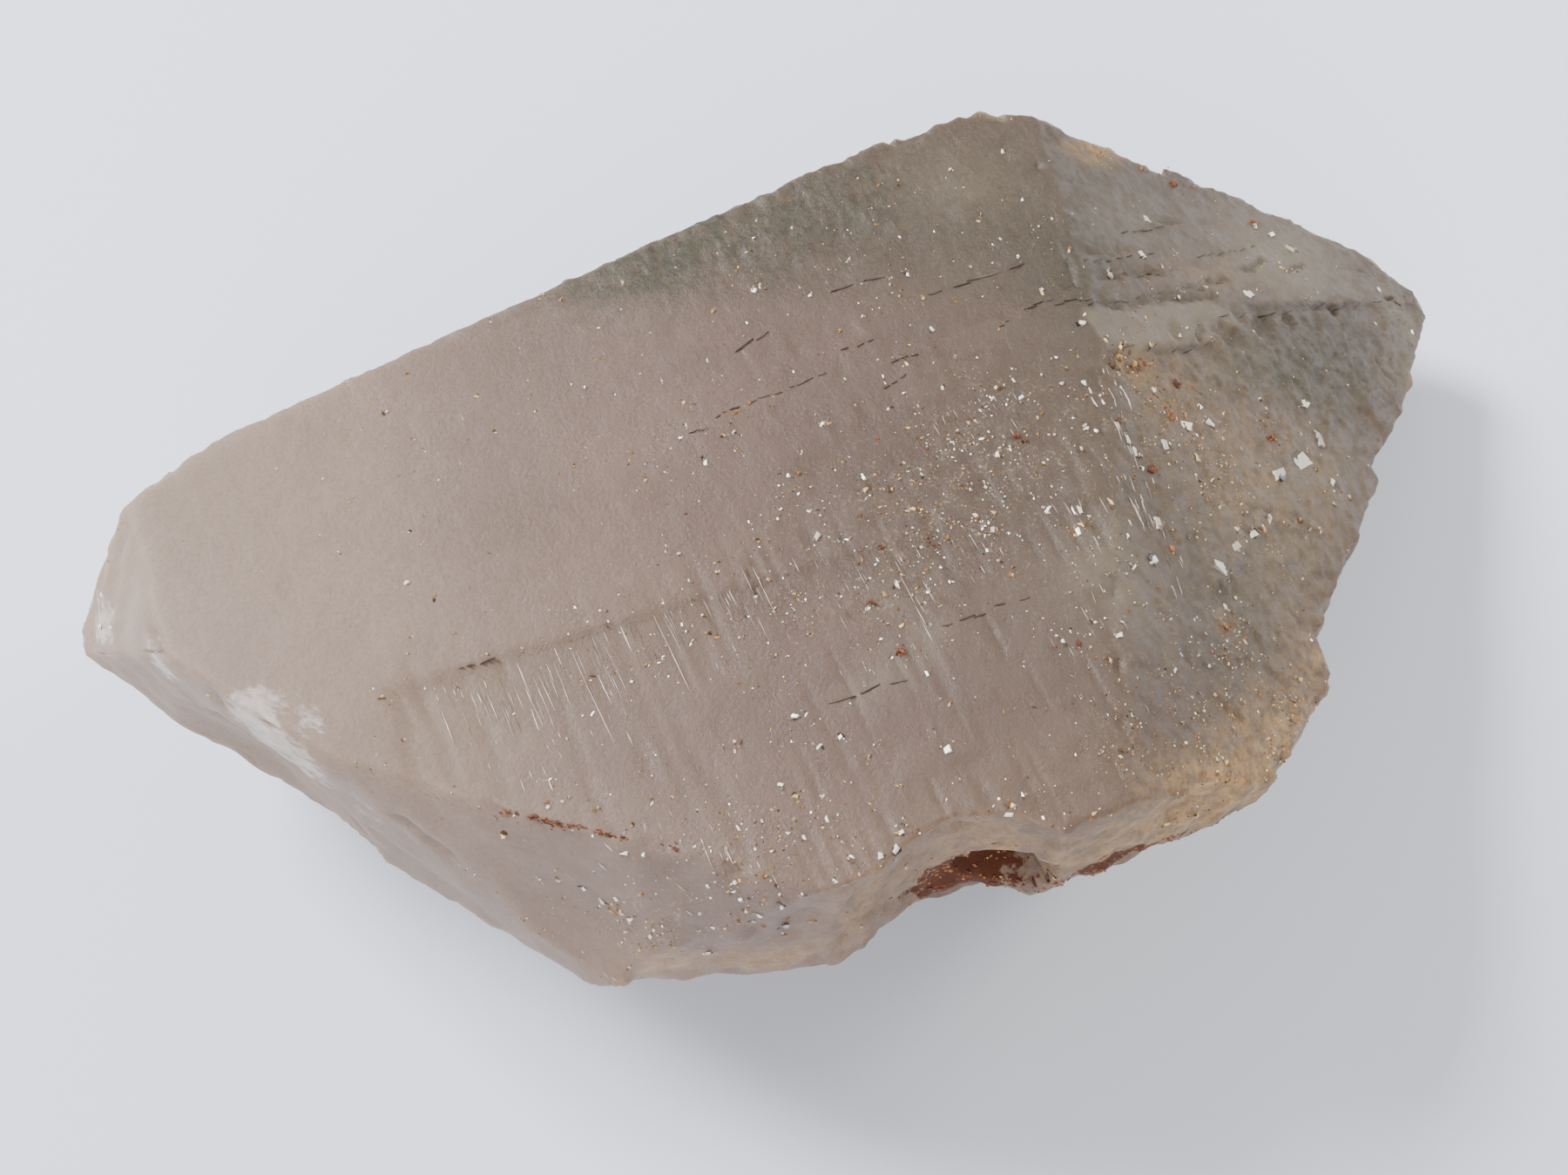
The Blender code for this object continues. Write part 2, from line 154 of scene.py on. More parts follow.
# Growth ledges. Each is sunk on the left of a line, looking from its start to its end: the two
# ends, the floor's depth below the uppermost face at each, its rise per millimetre away from the
# line, its reach and the width of its step.
LEDGES = (
    (-3.9, 1.5, 27, 2.3, 0, 0.35, 0, 22, 0.35),  # back strip
    (8.5, -9.6, -24, -7.7, 0.04, 0.22, 0.02, 9, 0.3),  # striated band
    (18.5, -2.9, 17, -9.4, 0.2, 0.3, 0, 6, 0.6),  # stairs down to the near termination
    (14.2, -10.9, 14.6, -15.2, 0.18, 0.25, 0, 6, 0.5),
    (17.6, -10.3, 16.4, -16.6, 0.45, 0.55, 0, 5, 0.9),
    (12.3, -16.4, 10.9, -23.4, 0.2, 0.28, 0, 6, 0.7),
    (15.4, -18.2, 13.6, -25.2, 0.6, 0.75, 0, 5, 0.9),
    (22.4, -4.4, 20.8, -9.7, 1, 1.15, 0, 5, 1.3),
)
STRIATED_BAND = LEDGES[1][:4]  # the line that it starts from

# Low steps on the terminations: the two ends, and the drop on the line's left, which fades away.
STEPS_DOWN = (
    (30.1, -0.9, 20.6, -2, 0.3), (41.1, -6.9, 40.6, -2.6, 0.3), (34.6, -8.1, 38.8, -3.1, 0.2),
    (28.5, -12.3, 19.8, -17.7, 0.2), (46, 3.4, 34, 2.2, 0.15),
)

# Open troughs on the terminations: the two ends and the width.
TROUGHS = (
    (22.8, 5.1, 27.2, 5.7, 0.5), (22.8, 3.4, 28.7, 4.1, 0.55), (21.9, 1.3, 23.9, 1.1, 0.7),
    (23.9, 1.1, 26.4, 1.8, 0.5), (26.4, 1.8, 32.2, 2.8, 0.6), (29.4, 2.8, 33.8, 4.2, 0.4),
    (35.1, 4.8, 38.3, 6, 0.45), (39.3, 5.4, 41.7, 6, 0.35), (30, 8.3, 32.6, 8.3, 0.4),
    (24.6, -2.1, 28.9, -1.1, 0.35), (43.6, -0.6, 44.6, -3.2, 0.4),
)

# In plan: the line between the two terminations, and a low plate beside it, anticlockwise.
RIDGE = (21.7, 1.2, 48.4, 3.8)
PLATE = ((20.6, 0.6), (20.9, -2.2), (29.2, -1.1), (33.5, 1.2), (30.5, 2.2))

# Where a finish shows: soft-edged clouds, each a centre, its half widths and its strength.
CLOUDS = {
    "smoke": (  # clearer, greenish-grey quartz with less milk in it
        (-4, 14.2, 25, 7, 1.8, 6, 0.6), (2, 14, 25, 10, 3.4, 6, 0.95),
        (8, 13.4, 25, 9, 5.2, 6, 0.7), (14, 12.5, 25, 8, 7, 8, 0.45), (20, 12, 24, 6, 8.5, 8, 0.3),
        (21.5, 4.5, 24, 3.5, 5.5, 5, 0.5), (27, 10.5, 20.5, 4.5, 3, 6, 0.4),
        (28.3, -14.3, 16.6, 3.6, 4, 5, 0.5), (22.3, -17.2, 19.6, 3.5, 5.5, 5, 0.45),
        (32, -10.5, 14.5, 3.5, 3.5, 5, 0.25), (22, 21, 13, 16, 5, 10, 0.5),
        (33, 1, 17, 16, 18, 14, 0.2), (46, 2, 4, 9, 9, 5, 0.5),
    ),
    "smoke_near": (  # the same on the near termination only
        (33.3, -2.4, 16.6, 6, 3.2, 7, 1), (38.6, -1, 13.4, 4.5, 3.4, 5, 0.85),
        (43, 0, 11, 4, 3, 5, 0.4), (34, -3.2, 16, 4, 2.4, 4, 1), (27.1, -4.2, 20.3, 4, 2.2, 4, 0.5),
    ),
    "veil": (  # milky veils in the clearer point
        (48.8, 2.5, 8, 2.2, 4, 4, 0.6), (45.5, -2, 8.5, 3, 1.6, 3, 0.5),
        (25, -14, 19, 5, 5, 5, 0.15), (15, -16.5, 24.5, 3, 4, 3, 0.4),
        (18.5, 13, 24.5, 4, 3, 4, 0.4), (33, -10, 15, 7, 3, 6, 0.35),
        (5.4, -11.8, 25, 0.5, 1.4, 2, 0.3), (2.8, -12.6, 25, 0.8, 1.6, 2, 0.35),
        (3.1, -16, 25, 1.2, 0.9, 2, 0.35), (-0.5, -17, 25, 1.8, 1, 2, 0.35),
        (-6.4, -14.4, 25, 0.8, 1.6, 2, 0.25),
    ),
    "veil_and_sheen_far": (  # the same on the far termination only, partly painted sheen
        (40, 6.2, 14, 8, 4.5, 5, 0.75), (28, 9, 21, 5, 3.5, 5, 0.38),
    ),
    "ochre": (  # yellow-tan clay in the breaks
        (15, -27.9, 20.5, 6, 2.2, 4.5, 0.9), (21.5, -25.5, 18, 5.5, 2.6, 4, 0.8),
        (26.5, -22, 15, 3.5, 3, 3.5, 0.6), (8.5, -28.3, 20, 4, 1.2, 3.6, 0.55),
        (2, -25.8, 20, 6, 2.4, 6, 0.5), (-4.6, -27.6, 20, 3, 2, 6, 0.5),
        (28.2, 13.7, 22.6, 2.6, 1.1, 1.8, 0.95), (28, -10, 18, 10, 10, 9, 0.3),
        (33, 4.2, 18.4, 6, 1.4, 3, 0.2), (22.6, -3, 23.6, 1.7, 0.8, 1.4, 0.9),
        (20.4, -19.2, 20.3, 1, 0.8, 1, 0.35), (-37, 9, 21, 2.6, 4, 8, 0.22),
        (-16.2, -25, 16.5, 2.4, 1.4, 2, 0.6), (-10.6, -26.6, 16, 3, 1.4, 2, 0.7),
        (24.2, -5, 22, 3.2, 2.6, 3, 0.25), (12, -26.5, 8, 14, 5, 5, 0.4),
    ),
    "shade": (  # slightly darker stone, and painted shade
        # the first two: painted shade on the front slope and on the left break's lower wall
        (-13, -23.8, 22, 6, 2.8, 4, 0.1), (-27.9, -11.1, 16.4, 5, 4, 4, 0.7),
        (-11, -10.4, 25, 12, 2.8, 4, 0.7), (-15, -0.5, 25, 4.5, 3, 5, 0.35),
        (6, -3.5, 25, 9, 5.5, 5, 0.8), (34, -3.2, 16, 3.6, 2.2, 4, 0.8), (8, 8, 25, 10, 3, 5, 0.4),
        (27.8, 14.3, 22.8, 2.8, 1.2, 2, 1),
    ),
    "rust": (  # brown iron crust
        (2.6, -25, 16.4, 3, 3, 3, 1), (0.2, -25.6, 15.4, 2.2, 2.4, 2.2, 1),
        (9.6, -28, 16.6, 3.4, 1.6, 1.2, 1), (14.5, -28, 15, 4, 1.6, 1.2, 0.5),
        (28.6, 14.3, 22.2, 1.6, 1, 1.2, 0.25), (32.6, 12.6, 19.4, 1.6, 1, 1.2, 0.4),
        (23, -3.4, 23.2, 1.1, 0.7, 1, 0.5),
    ),
    "frost": (  # white bruises and crumbled edges
        (-38, 6.4, 17.8, 1.3, 2.4, 2.6, 0.75), (-35, -0.6, 22.6, 1.2, 1.4, 1.8, 0.8),
        (-31.2, -6.6, 24.4, 2.1, 2.2, 2.8, 1), (-29.7, -8.6, 22.8, 2.1, 2.2, 2.8, 0.75),
        (-26.6, -11.8, 21, 2.4, 2.4, 3.4, 0.35), (-22, -17, 20, 4, 3, 3.4, 0.2),
    ),
    "grit": (  # where bright and golden specks crowd
        (6, -7.4, 25, 8, 4.6, 4, 0.85), (12.5, -8.5, 25, 7, 7, 4, 0.85), (3, -12, 25, 8, 5, 4, 0.5),
        (-12, -10.5, 25, 9, 4, 4, 0.35), (12, 9.5, 25, 11, 4.5, 4, 0.22),
        (15.5, -21, 23.5, 4.5, 4, 4, 1), (20.5, -22.5, 19.5, 4, 4, 4, 0.9),
        (-8, -24.5, 24, 6, 2.6, 4, 0.5), (-13.5, -23, 21, 8.5, 5, 8, 0.9),
        (23, -9, 21, 3.5, 9, 8, 0.6), (29, -10.5, 17, 6, 3, 5, 0.5), (29, 3.5, 20, 6, 2.5, 4, 0.35),
        (36, 8.5, 16, 6, 2.5, 4, 0.25), (-4, 2, 25, 7, 3, 4, 0.3), (9, -26, 23, 9, 3, 3, 0.7),
    ),
}


def srgb(code):
    """A hex sRGB colour as linear RGBA."""
    parts = [int(code[i : i + 2], 16) / 255.0 for i in (1, 3, 5)]
    linear = [c / 12.92 if c <= 0.04045 else ((c + 0.055) / 1.055) ** 2.4 for c in parts]
    return (*linear, 1.0)


def length_setting(name, description, default):
    """A length that the user can set, in metres."""
    return FloatProperty(
        name=name, description=description, default=default, unit="LENGTH", precision=5)


def colour_setting(name, description, code):
    """A colour that the user can set, from its sRGB hex value."""
    return FloatVectorProperty(
        name=name, description=description, default=srgb(code), subtype="COLOR", size=4)


class QUARTZ_PG_shape(bpy.types.PropertyGroup):
    """Sizes of the crystal's relief"""

    wave_height: length_setting("Wave height", "Height of the faces' slow waves", 0.00006)
    striation_depth: length_setting(
        "Striation depth", "Depth of the striations across the uppermost face", 0.00009)
    plate_height: length_setting("Plate height", "Height of the small growth plates", 0.00007)
    facet_slope: FloatProperty(
        name="Facet slope", description="Steepest slope of the etch facets on the terminations",
        default=0.17, subtype="FACTOR", min=0.0, max=1.0)
    ripple_height: length_setting(
        "Ripple height", "Height of the conchoidal ripples on the breaks", 0.00012)
    grain_height: length_setting("Grain height", "Height of the frosted grain", 0.00003)
    chip_depth: length_setting("Chip depth", "Depth of the chips along the edges", 0.0004)
    sharpness: FloatProperty(
        name="Edge sharpness", description="A higher value rounds the crystal's edges less",
        default=170.0, min=20.0, max=400.0)
    glints: IntProperty(name="Glints", description="Number of groups of etch facets", default=850)
    flecks: IntProperty(name="Flecks", description="Number of pairs of golden flecks", default=2000)
    grains: IntProperty(name="Rust grains", description="Number of rust grains", default=520)


class QUARTZ_PG_colours(bpy.types.PropertyGroup):
    """Colours of the crystal and of what clings to it"""

    milk: colour_setting("Milky", "Milky quartz of the broken end", "#917D6F")
    body: colour_setting("Body", "Mauve-grey quartz of the middle", "#6F594F")
    brown: colour_setting("Brown", "Smoky brown quartz towards the point", "#534438")
    smoke: colour_setting("Smoke", "Clearer green-grey quartz", "#403D2A")
    veil: colour_setting("Veil", "Bluish-grey veils in the point", "#867D6C")
    ochre: colour_setting("Ochre", "Yellow-tan clay film", "#C09A62")
    rust: colour_setting("Rust", "Brown iron crust", "#4A210A")
    frost: colour_setting("Frost", "Crushed white quartz", "#B7ABA5")
    floor: colour_setting("Floor", "Studio floor", "#EAF1FF")


# Fields and noise, on whole arrays of points in millimetres.


def ramp(low, high, value):
    """0 below low, 1 above high, and a smooth S between: t * t * (3 - 2 t)."""
    t = np.clip((value - low) / (high - low), 0.0, 1.0)
    return t * t * (3.0 - 2.0 * t)


def lattice(cell, seed):
    """A repeatable value from 0 to 1 for each whole-number cell: an integer hash of its indices."""
    i, j, k = cell[..., 0], cell[..., 1], cell[..., 2]
    mixed = (i * 374761393 + j * 668265263 + k * 1440662683 + seed * 974634777) & 0xFFFFFFFF
    mixed = ((mixed ^ (mixed >> 13)) * 1274126177) & 0xFFFFFFFF
    return ((mixed ^ (mixed >> 16)) & 0xFFFFFF) / float(0xFFFFFF)


def noise(points, size, seed, sharp=1.0):
    """Smooth noise from -1 to 1: lattice values a size apart, blended by the smooth S.

    A sharp value above 1 steepens the blend, which turns the cells into flat plates.
    """
    scaled = points / np.asarray(size)
    base = np.floor(scaled).astype(np.int64)
    part = ramp(0.5 - 0.5 / sharp, 0.5 + 0.5 / sharp, scaled - base)
    total = np.zeros(points.shape[:-1])
    for corner in itertools.product((0, 1), repeat=3):
        weight = np.prod(np.where(corner, part, 1.0 - part), axis=-1)
        total += weight * lattice(base + corner, seed)
    return total * 2.0 - 1.0


def facets(points, size, seed):
    """Tilted plates from -1 to 1: each point takes the slope of the nearest strewn seed point."""
    scaled = points / size
    base = np.floor(scaled).astype(np.int64)
    nearest = np.full(points.shape[:-1], np.inf)
    height = np.zeros(points.shape[:-1])
    for corner in itertools.product((-1, 0, 1), repeat=3):
        cell = base + corner
        place = np.stack([lattice(cell, seed + axis) for axis in range(3)], axis=-1)
        slope = np.stack([lattice(cell, seed + 3 + axis) for axis in range(3)], axis=-1) - 0.5
        away = scaled - cell - place
        distance = (away**2).sum(axis=-1)
        closer = distance < nearest
        nearest = np.where(closer, distance, nearest)
        height = np.where(closer, 2.0 * (away * slope).sum(axis=-1), height)
    return height


def cloud(points, name):
    """Soft union of a finish's clouds: 1 minus the product of (1 - strength * exp(-q * q))."""
    clear = np.ones(points.shape[:-1])
    for row in np.array(CLOUDS[name]):
        away = (points - row[:3]) / row[3:6]
        clear *= 1.0 - row[6] * np.exp(-(away**2).sum(axis=-1))
    return 1.0 - clear


def along_line(points, x, y, end_x, end_y):
    """Distance along a line in plan from its start, distance to its left, and its length."""
    run = np.array([end_x - x, end_y - y])
    length = np.hypot(*run)
    away = points[..., :2] - np.array([x, y])
    along = (away @ run) / length
    left = (away[..., 1] * run[0] - away[..., 0] * run[1]) / length
    return along, left, length


def between_ends(along, length, low, high):
    """1 along a line's stretch, fading to 0 from high to low inside each of its ends."""
    return ramp(low, high, along) * ramp(length - low, length - high, along)


# The crystal's skin.


def unit(compass, lean):
    """The unit vector that looks in a compass direction and leans over from straight up."""
    turn, tilt = math.radians(compass), math.radians(lean)
    level = math.sin(tilt)
    return np.array([level * math.cos(turn), level * math.sin(turn), math.cos(tilt)])


def unit_rows(vectors):
    """Each vector divided by its length."""
    return vectors / np.maximum(np.linalg.norm(vectors, axis=-1, keepdims=True), TINY)


def scoop_entry(start, ray, centre, half_lengths):
    """How far a ray goes before it enters an ellipsoid: the lower root of its quadratic."""
    q = (start - np.array(centre)) / np.array(half_lengths)
    u = ray / np.array(half_lengths)
    a = (u * u).sum(axis=-1)
    b = (q * u).sum(axis=-1)
    left = b * b - a * ((q * q).sum(axis=-1) - 1.0)
    reach = (-b - np.sqrt(np.maximum(left, 0.0))) / a
    return np.where((left > 0.0) & (reach > 0.0), reach, np.inf)


def notch_entry(start, ray, corner, compass, length):
    """How far a ray goes before it is in front of all three walls of a notch."""
    along, outward = unit(compass, 90.0), unit(compass - 90.0, 90.0)
    corner = np.array([*corner, 0.0])
    walls = (
        (along, along @ corner),
        (outward, outward @ corner),
        (-along, -(along @ corner) - length),
    )
    into = np.zeros(ray.shape[:-1])
    out = np.full(ray.shape[:-1], np.inf)
    for normal, offset in walls:
        rate = ray @ normal
        reach = (offset - start @ normal) / np.where(np.abs(rate) < TINY, TINY, rate)
        into = np.where(rate > 0.0, np.maximum(into, reach), into)
        out = np.where(rate < 0.0, np.minimum(out, reach), out)
    return np.where((into > 0.0) & (into < out), into, np.inf)


def cross_section(x, angle, sharpness, carved=True):
    """The skin's points for each x and ray angle from the centre line, and how near an edge is.

    A ray reaches a flat face at (offset - normal.start) / (normal.ray). The faces are joined by
    a power mean of the reciprocals, (sum of (1/reach)^p)^(-1/p), which rounds the edges, most at
    the broken end, where p is lowest, and each scoop and notch stops the ray where it goes in.
    """
    start = [x, *(np.interp(x, CENTRE_LINE[:, 0], CENTRE_LINE[:, k]) for k in (1, 2))]
    start = np.stack(start, axis=-1)
    ray = np.stack([np.zeros_like(angle), np.cos(angle), np.sin(angle)], axis=-1)
    closest = np.zeros(angle.shape)
    second = np.zeros(angle.shape)
    inverses = []
    for compass, lean, point in FACES:
        normal = unit(compass, lean)
        gap = normal @ np.array(point) - start @ normal
        inverse = np.maximum(ray @ normal, 0.0) / np.maximum(gap, 1e-4)
        second = np.maximum(second, np.minimum(closest, inverse))
        closest = np.maximum(closest, inverse)
        inverses.append(inverse)
    power = sharpness * (WORN_SHARE + (1.0 - WORN_SHARE) * ramp(-32.0, -12.0, x))
    total = sum((inverse / closest) ** power for inverse in inverses)
    radius = 1.0 / (closest * total ** (1.0 / power))
    edge = np.exp(-(((closest - second) / closest / EDGE_WIDTH) ** 2))
    for centre, half_lengths in SCOOPS if carved else ():
        radius = np.minimum(radius, scoop_entry(start, ray, centre, half_lengths))
    for corner, compass, length in NOTCHES if carved else ():
        radius = np.minimum(radius, notch_entry(start, ray, corner, compass, length))
    return start + ray * radius[..., None], edge


def spread_angles(x, count, sharpness):
    """Ray angles that space each section's points by length, closest on the upper faces.

    They are worked out before the scoops and notches are cut, so that they change slowly with x.
    """
    angle = np.linspace(-0.5 * np.pi, 1.5 * np.pi, FINE_ANGLES + 1)
    fine_x, fine_angle = np.meshgrid(x, angle, indexing="ij")
    points, _edge = cross_section(fine_x, fine_angle, sharpness, carved=False)
    step = np.diff(points, axis=1)
    length = np.linalg.norm(step, axis=-1)
    upward = -step[..., 1] / np.maximum(length, TINY)
    under, wall, top = FACING_SHARES
    share = under + (wall - under) * ramp(-0.9, -0.5, upward)
    share = share + (top - wall) * ramp(0.1, 0.6, upward)
    travelled = np.cumsum(length * share, axis=1)
    travelled = np.concatenate([np.zeros((len(x), 1)), travelled / travelled[:, -1:]], axis=1)
    row = np.arange(len(x))[:, None]
    wanted = np.arange(count)[None, :] / count
    just_short = 0.999999  # keeps each section's last angle below the next one's first
    flat = np.interp(
        (wanted + row).ravel(), (travelled * just_short + row).ravel(), np.tile(angle, len(x)))
    return flat.reshape(len(x), count)


def grid_normals(grid):
    """Outward unit normals of a grid of rings: around crossed with along, by differences."""
    along = np.gradient(grid, axis=0)
    around = np.roll(grid, -1, axis=1) - np.roll(grid, 1, axis=1)
    return unit_rows(np.cross(around, along))


def ledges(points):
    """How far the skin stands above the ledges' floors, within soft steps at their borders."""
    wobble = 0.18 * noise(points, 1.6, SEED) + 0.10 * noise(points, 0.6, SEED + 1)
    depth = np.zeros(points.shape[:-1])
    for *line, first, last, rise, reach, step in LEDGES:
        along, left, length = along_line(points, *line)
        left = left + wobble
        within = ramp(0.0, step, left) * ramp(reach, reach - 0.3, left)
        within *= between_ends(along + wobble, length, -0.1, 0.3)
        floor = first + (last - first) * np.clip(along / length, 0.0, 1.0) - rise * left
        depth = np.maximum(depth, within * np.maximum(points[..., 2] - THICKNESS + floor, 0.0))
    return depth


def steps_down(points):
    """Drop below each low step: a soft step at its line times exp(-distance / STEP_FADE)."""
    depth = np.zeros(points.shape[:-1])
    for *line, drop in STEPS_DOWN:
        along, left, length = along_line(points, *line)
        left = left + 0.2 * noise(points, 1.3, SEED + 3)
        ends = between_ends(along, length, -0.3, 0.8)
        fade = np.exp(-np.maximum(left, 0.0) / STEP_FADE)
        depth = np.maximum(depth, drop * ramp(-0.1, 0.3, left) * fade * ends)
    return depth


def troughs(points):
    """Depth of the troughs, a V across each line half as deep as wide, and their soft surrounds."""
    depth, near = np.zeros(points.shape[:-1]), np.zeros(points.shape[:-1])
    wander = 0.30 * noise(points, 1.1, SEED + 2) + 0.15 * noise(points, 0.45, SEED + 5)
    for *line, width in TROUGHS:
        along, left, length = along_line(points, *line)
        left = left + wander
        profile = np.clip(1.0 - np.abs(left) / (0.5 * width), 0.0, 1.0)
        ends = between_ends(along, length, -0.2, 0.6)
        depth = np.maximum(depth, 0.5 * width * profile * ends)
        near = np.maximum(near, ends * np.exp(-((left / width) ** 2)))
    return depth, near


def inside(points, corners, soft):
    """1 inside an outline in plan and 0 outside: the product of a soft step across each side."""
    wobble = 0.15 * noise(points, 0.9, SEED + 4)
    covered = np.ones(points.shape[:-1])
    for start, end in zip(corners, (*corners[1:], corners[0])):
        covered *= ramp(-soft, soft, along_line(points, *start, *end)[1] + wobble)
    return covered


def relief(points, normals, edge, shape):
    """How far the skin stands out of the smooth body, in millimetres.

    Slow waves everywhere; on the uppermost face the ledges, streaks stretched along Y for the
    striations and steep-sided plates; tilted facets and troughs on the terminations; ripples of
    sin(distance from a far point) and rough noise on the breaks; chips where an edge is near;
    and a fine grain over all.
    """
    x, y = points[..., 0], points[..., 1]
    facing_point, facing_back, facing_up = np.moveaxis(normals, -1, 0)
    up = ramp(0.955, 0.99, facing_up)
    point_end = ramp(0.25, 0.42, facing_point) * ramp(0.55, 0.75, facing_up)
    broken = (1.0 - ramp(0.62, 0.80, facing_up)) * ramp(-0.9, -0.6, facing_up)
    prism = broken * ramp(0.5, 0.8, facing_back)
    broken = broken * (1.0 - prism)
    ripple_height = shape.ripple_height / MM

    height = shape.wave_height / MM * (noise(points, 9.0, 11) + 0.5 * noise(points, 3.1, 12))
    height -= ramp(0.5, 0.7, facing_up) * facing_up * ledges(points)
    streak = noise(points, (0.42, 4.2, 9.0), 13)
    band = 0.12 + 0.88 * ramp(-4.0, -9.0, y) * ramp(-26.0, -22.0, x)
    height -= up * band * shape.striation_depth / MM * ramp(0.25, 0.75, streak)
    plates = noise(points, (2.6, 1.7, 9.0), 14, sharp=5.0)
    plates += noise(points, (2.3, 1.1, 9.0), 15, sharp=4.0)
    etched = 0.15 + 0.85 * ramp(-18.0, 6.0, x)
    height += up * etched * 0.5 * shape.plate_height / MM * plates
    cut = facets(points, 1.5, 20) * 1.5 + facets(points, 0.8, 30) * 0.8
    near_side = 0.4 + 0.6 * ramp(-0.13, -0.2, facing_back)
    height += point_end * near_side * 0.5 * shape.facet_slope * cut
    height -= point_end * (troughs(points)[0] + steps_down(points))
    height += up * etched * 0.12 * shape.facet_slope * facets(points, 1.3, 40) * 1.3
    height += 0.45 * shape.facet_slope * cloud(points, "smoke") * facets(points, 0.75, 60)
    far = np.linalg.norm(points - RIPPLE_SOURCE, axis=-1)
    ripple = np.sin(2.0 * np.pi * (far + 0.8 * noise(points, 5.0, 16)) / RIPPLE_LENGTH)
    rough = 0.8 * ripple + 1.4 * noise(points, 1.7, 17) + 1.2 * noise(points, 0.8, 18)
    calm = 0.55 + 0.45 * ramp(-26.0, -10.0, x)
    height += broken * calm * ripple_height * rough
    fluted = 0.8 * noise(points, (0.7, 9.0, 6.0), 19) + 0.6 * facets(points, 1.6, 50)
    height += prism * ripple_height * fluted
    bite = ramp(0.05, 0.75, noise(points, 1.5, 21) + 0.4 * noise(points, 0.6, 22))
    height -= edge * bite * shape.chip_depth / MM * ramp(-0.75, -0.4, facing_up)
    grain = noise(points, 0.55, 23) + 0.7 * noise(points, 0.3, 24)
    return height + shape.grain_height / MM * grain * (1.0 - 0.5 * up)


def skin_grid(shape):
    """Rings of points from the broken end to the blunt point, closed by shrinking rings."""
    fine = np.linspace(FIRST_X, LAST_X, 8 * SECTIONS)
    crowd = np.cumsum(1.0 + (POINT_SHARE - 1.0) * ramp(-14.0, 2.0, fine))
    x = np.interp(np.linspace(crowd[0], crowd[-1], SECTIONS), crowd, fine)
    angle = spread_angles(x, AROUND, shape.sharpness)
    body, edge = cross_section(np.repeat(x[:, None], AROUND, axis=1), angle, shape.sharpness)
    shrink = (np.arange(CAP_RINGS) + 1.0)[:, None, None] / (CAP_RINGS + 1.0)
    first, last = (end.mean(axis=1, keepdims=True) for end in (body[:1], body[-1:]))
    grid = np.concatenate([
        first + (body[:1] - first) * shrink, body, last + (body[-1:] - last) * shrink[::-1]])
    edge = np.pad(edge, ((CAP_RINGS, CAP_RINGS), (0, 0)), mode="edge")
    normals = grid_normals(grid)
    grid = grid + normals * relief(grid, normals, edge, shape)[..., None]
    grid[..., 2] = np.maximum(grid[..., 2], 0.0)
    return grid, edge


def closed_tube(grid):
    """Points and faces of a grid of rings, with a fan to a middle point at each end."""
    rings, around = grid.shape[:2]
    points = np.concatenate([grid.reshape(-1, 3), grid[0].mean(0)[None], grid[-1].mean(0)[None]])
    here = np.arange(rings * around).reshape(rings, around)
    beside = np.roll(here, -1, axis=1)
    quads = np.stack([here[:-1], beside[:-1], beside[1:], here[1:]], axis=-1).reshape(-1, 4)
    first, last = np.full(around, rings * around), np.full(around, rings * around + 1)
    fans = np.concatenate([
        np.stack([beside[0], here[0], first], -1), np.stack([here[-1], beside[-1], last], -1)])
    return points, quads.tolist() + fans.tolist()


def piece_mesh(name, points, faces, smooth):
    """A mesh object in the frame's metres, with its place in its vertices."""
    mesh = bpy.data.meshes.new(name)
    mesh.from_pydata(((points - MIDDLE) * MM).tolist(), [], faces)
    if smooth:
        mesh.shade_smooth()
    mesh.update()
    piece = bpy.data.objects.new(name, mesh)
    bpy.context.scene.collection.objects.link(piece)
    return piece


def set_field(mesh, name, values):
    """Stores one value for each vertex, for the materials to read."""
    field = mesh.attributes.new(name, "FLOAT", "POINT")
    field.data.foreach_set("value", np.ascontiguousarray(values, dtype=np.float32))


def read(items, what, size=1, kind=float):
    """One property of every vertex, face or corner, as an array."""
    values = np.empty(len(items) * size, dtype=kind)
    items.foreach_get(what, values)
    return values.reshape(-1, size) if size > 1 else values


def get_field(mesh, name):
    """The stored value of each vertex."""
    return read(mesh.attributes[name].data, "value", kind=np.float32).astype(float)


# Small marks that stand on the skin.


def skin_arrays():
    """The finished skin's points in the drawing's millimetres, its normals and vertex areas."""
    mesh = bpy.data.objects["crystal_skin"].data
    totals = read(mesh.polygons, "loop_total", kind=np.int32)
    corners = read(mesh.loops, "vertex_index", kind=np.int32)
    share = np.repeat(read(mesh.polygons, "area") / totals, totals)
    area = np.bincount(corners, share, len(mesh.vertices))
    points = read(mesh.vertices, "co", 3) / MM + MIDDLE
    return points, read(mesh.vertex_normals, "vector", 3), area, mesh


def strew(chance, points, normals, weight, count, members, spread):
    """Groups of places round skin points drawn by weight: the points drawn, places and normals.

    Each point is drawn at most once, and its group is spread in its tangent plane.
    """
    at = chance.choice(len(points), size=count, replace=False, p=weight / weight.sum())
    at = np.sort(at)
    up = np.repeat(normals[at], members, axis=0)
    away = chance.normal(0.0, spread, up.shape)
    away -= up * (away * up).sum(axis=1, keepdims=True)
    return at, np.repeat(points[at], members, axis=0) + away, up


def drawn_out(chance, widths, low, high):
    """Lengths and widths, each length its width times a random factor."""
    return np.stack([widths * chance.uniform(low, high, len(widths)), widths], axis=1)


def nearest_points(points, wanted):
    """The skin point nearest to each wanted place."""
    return np.array([((points - place) ** 2).sum(axis=1).argmin() for place in wanted])


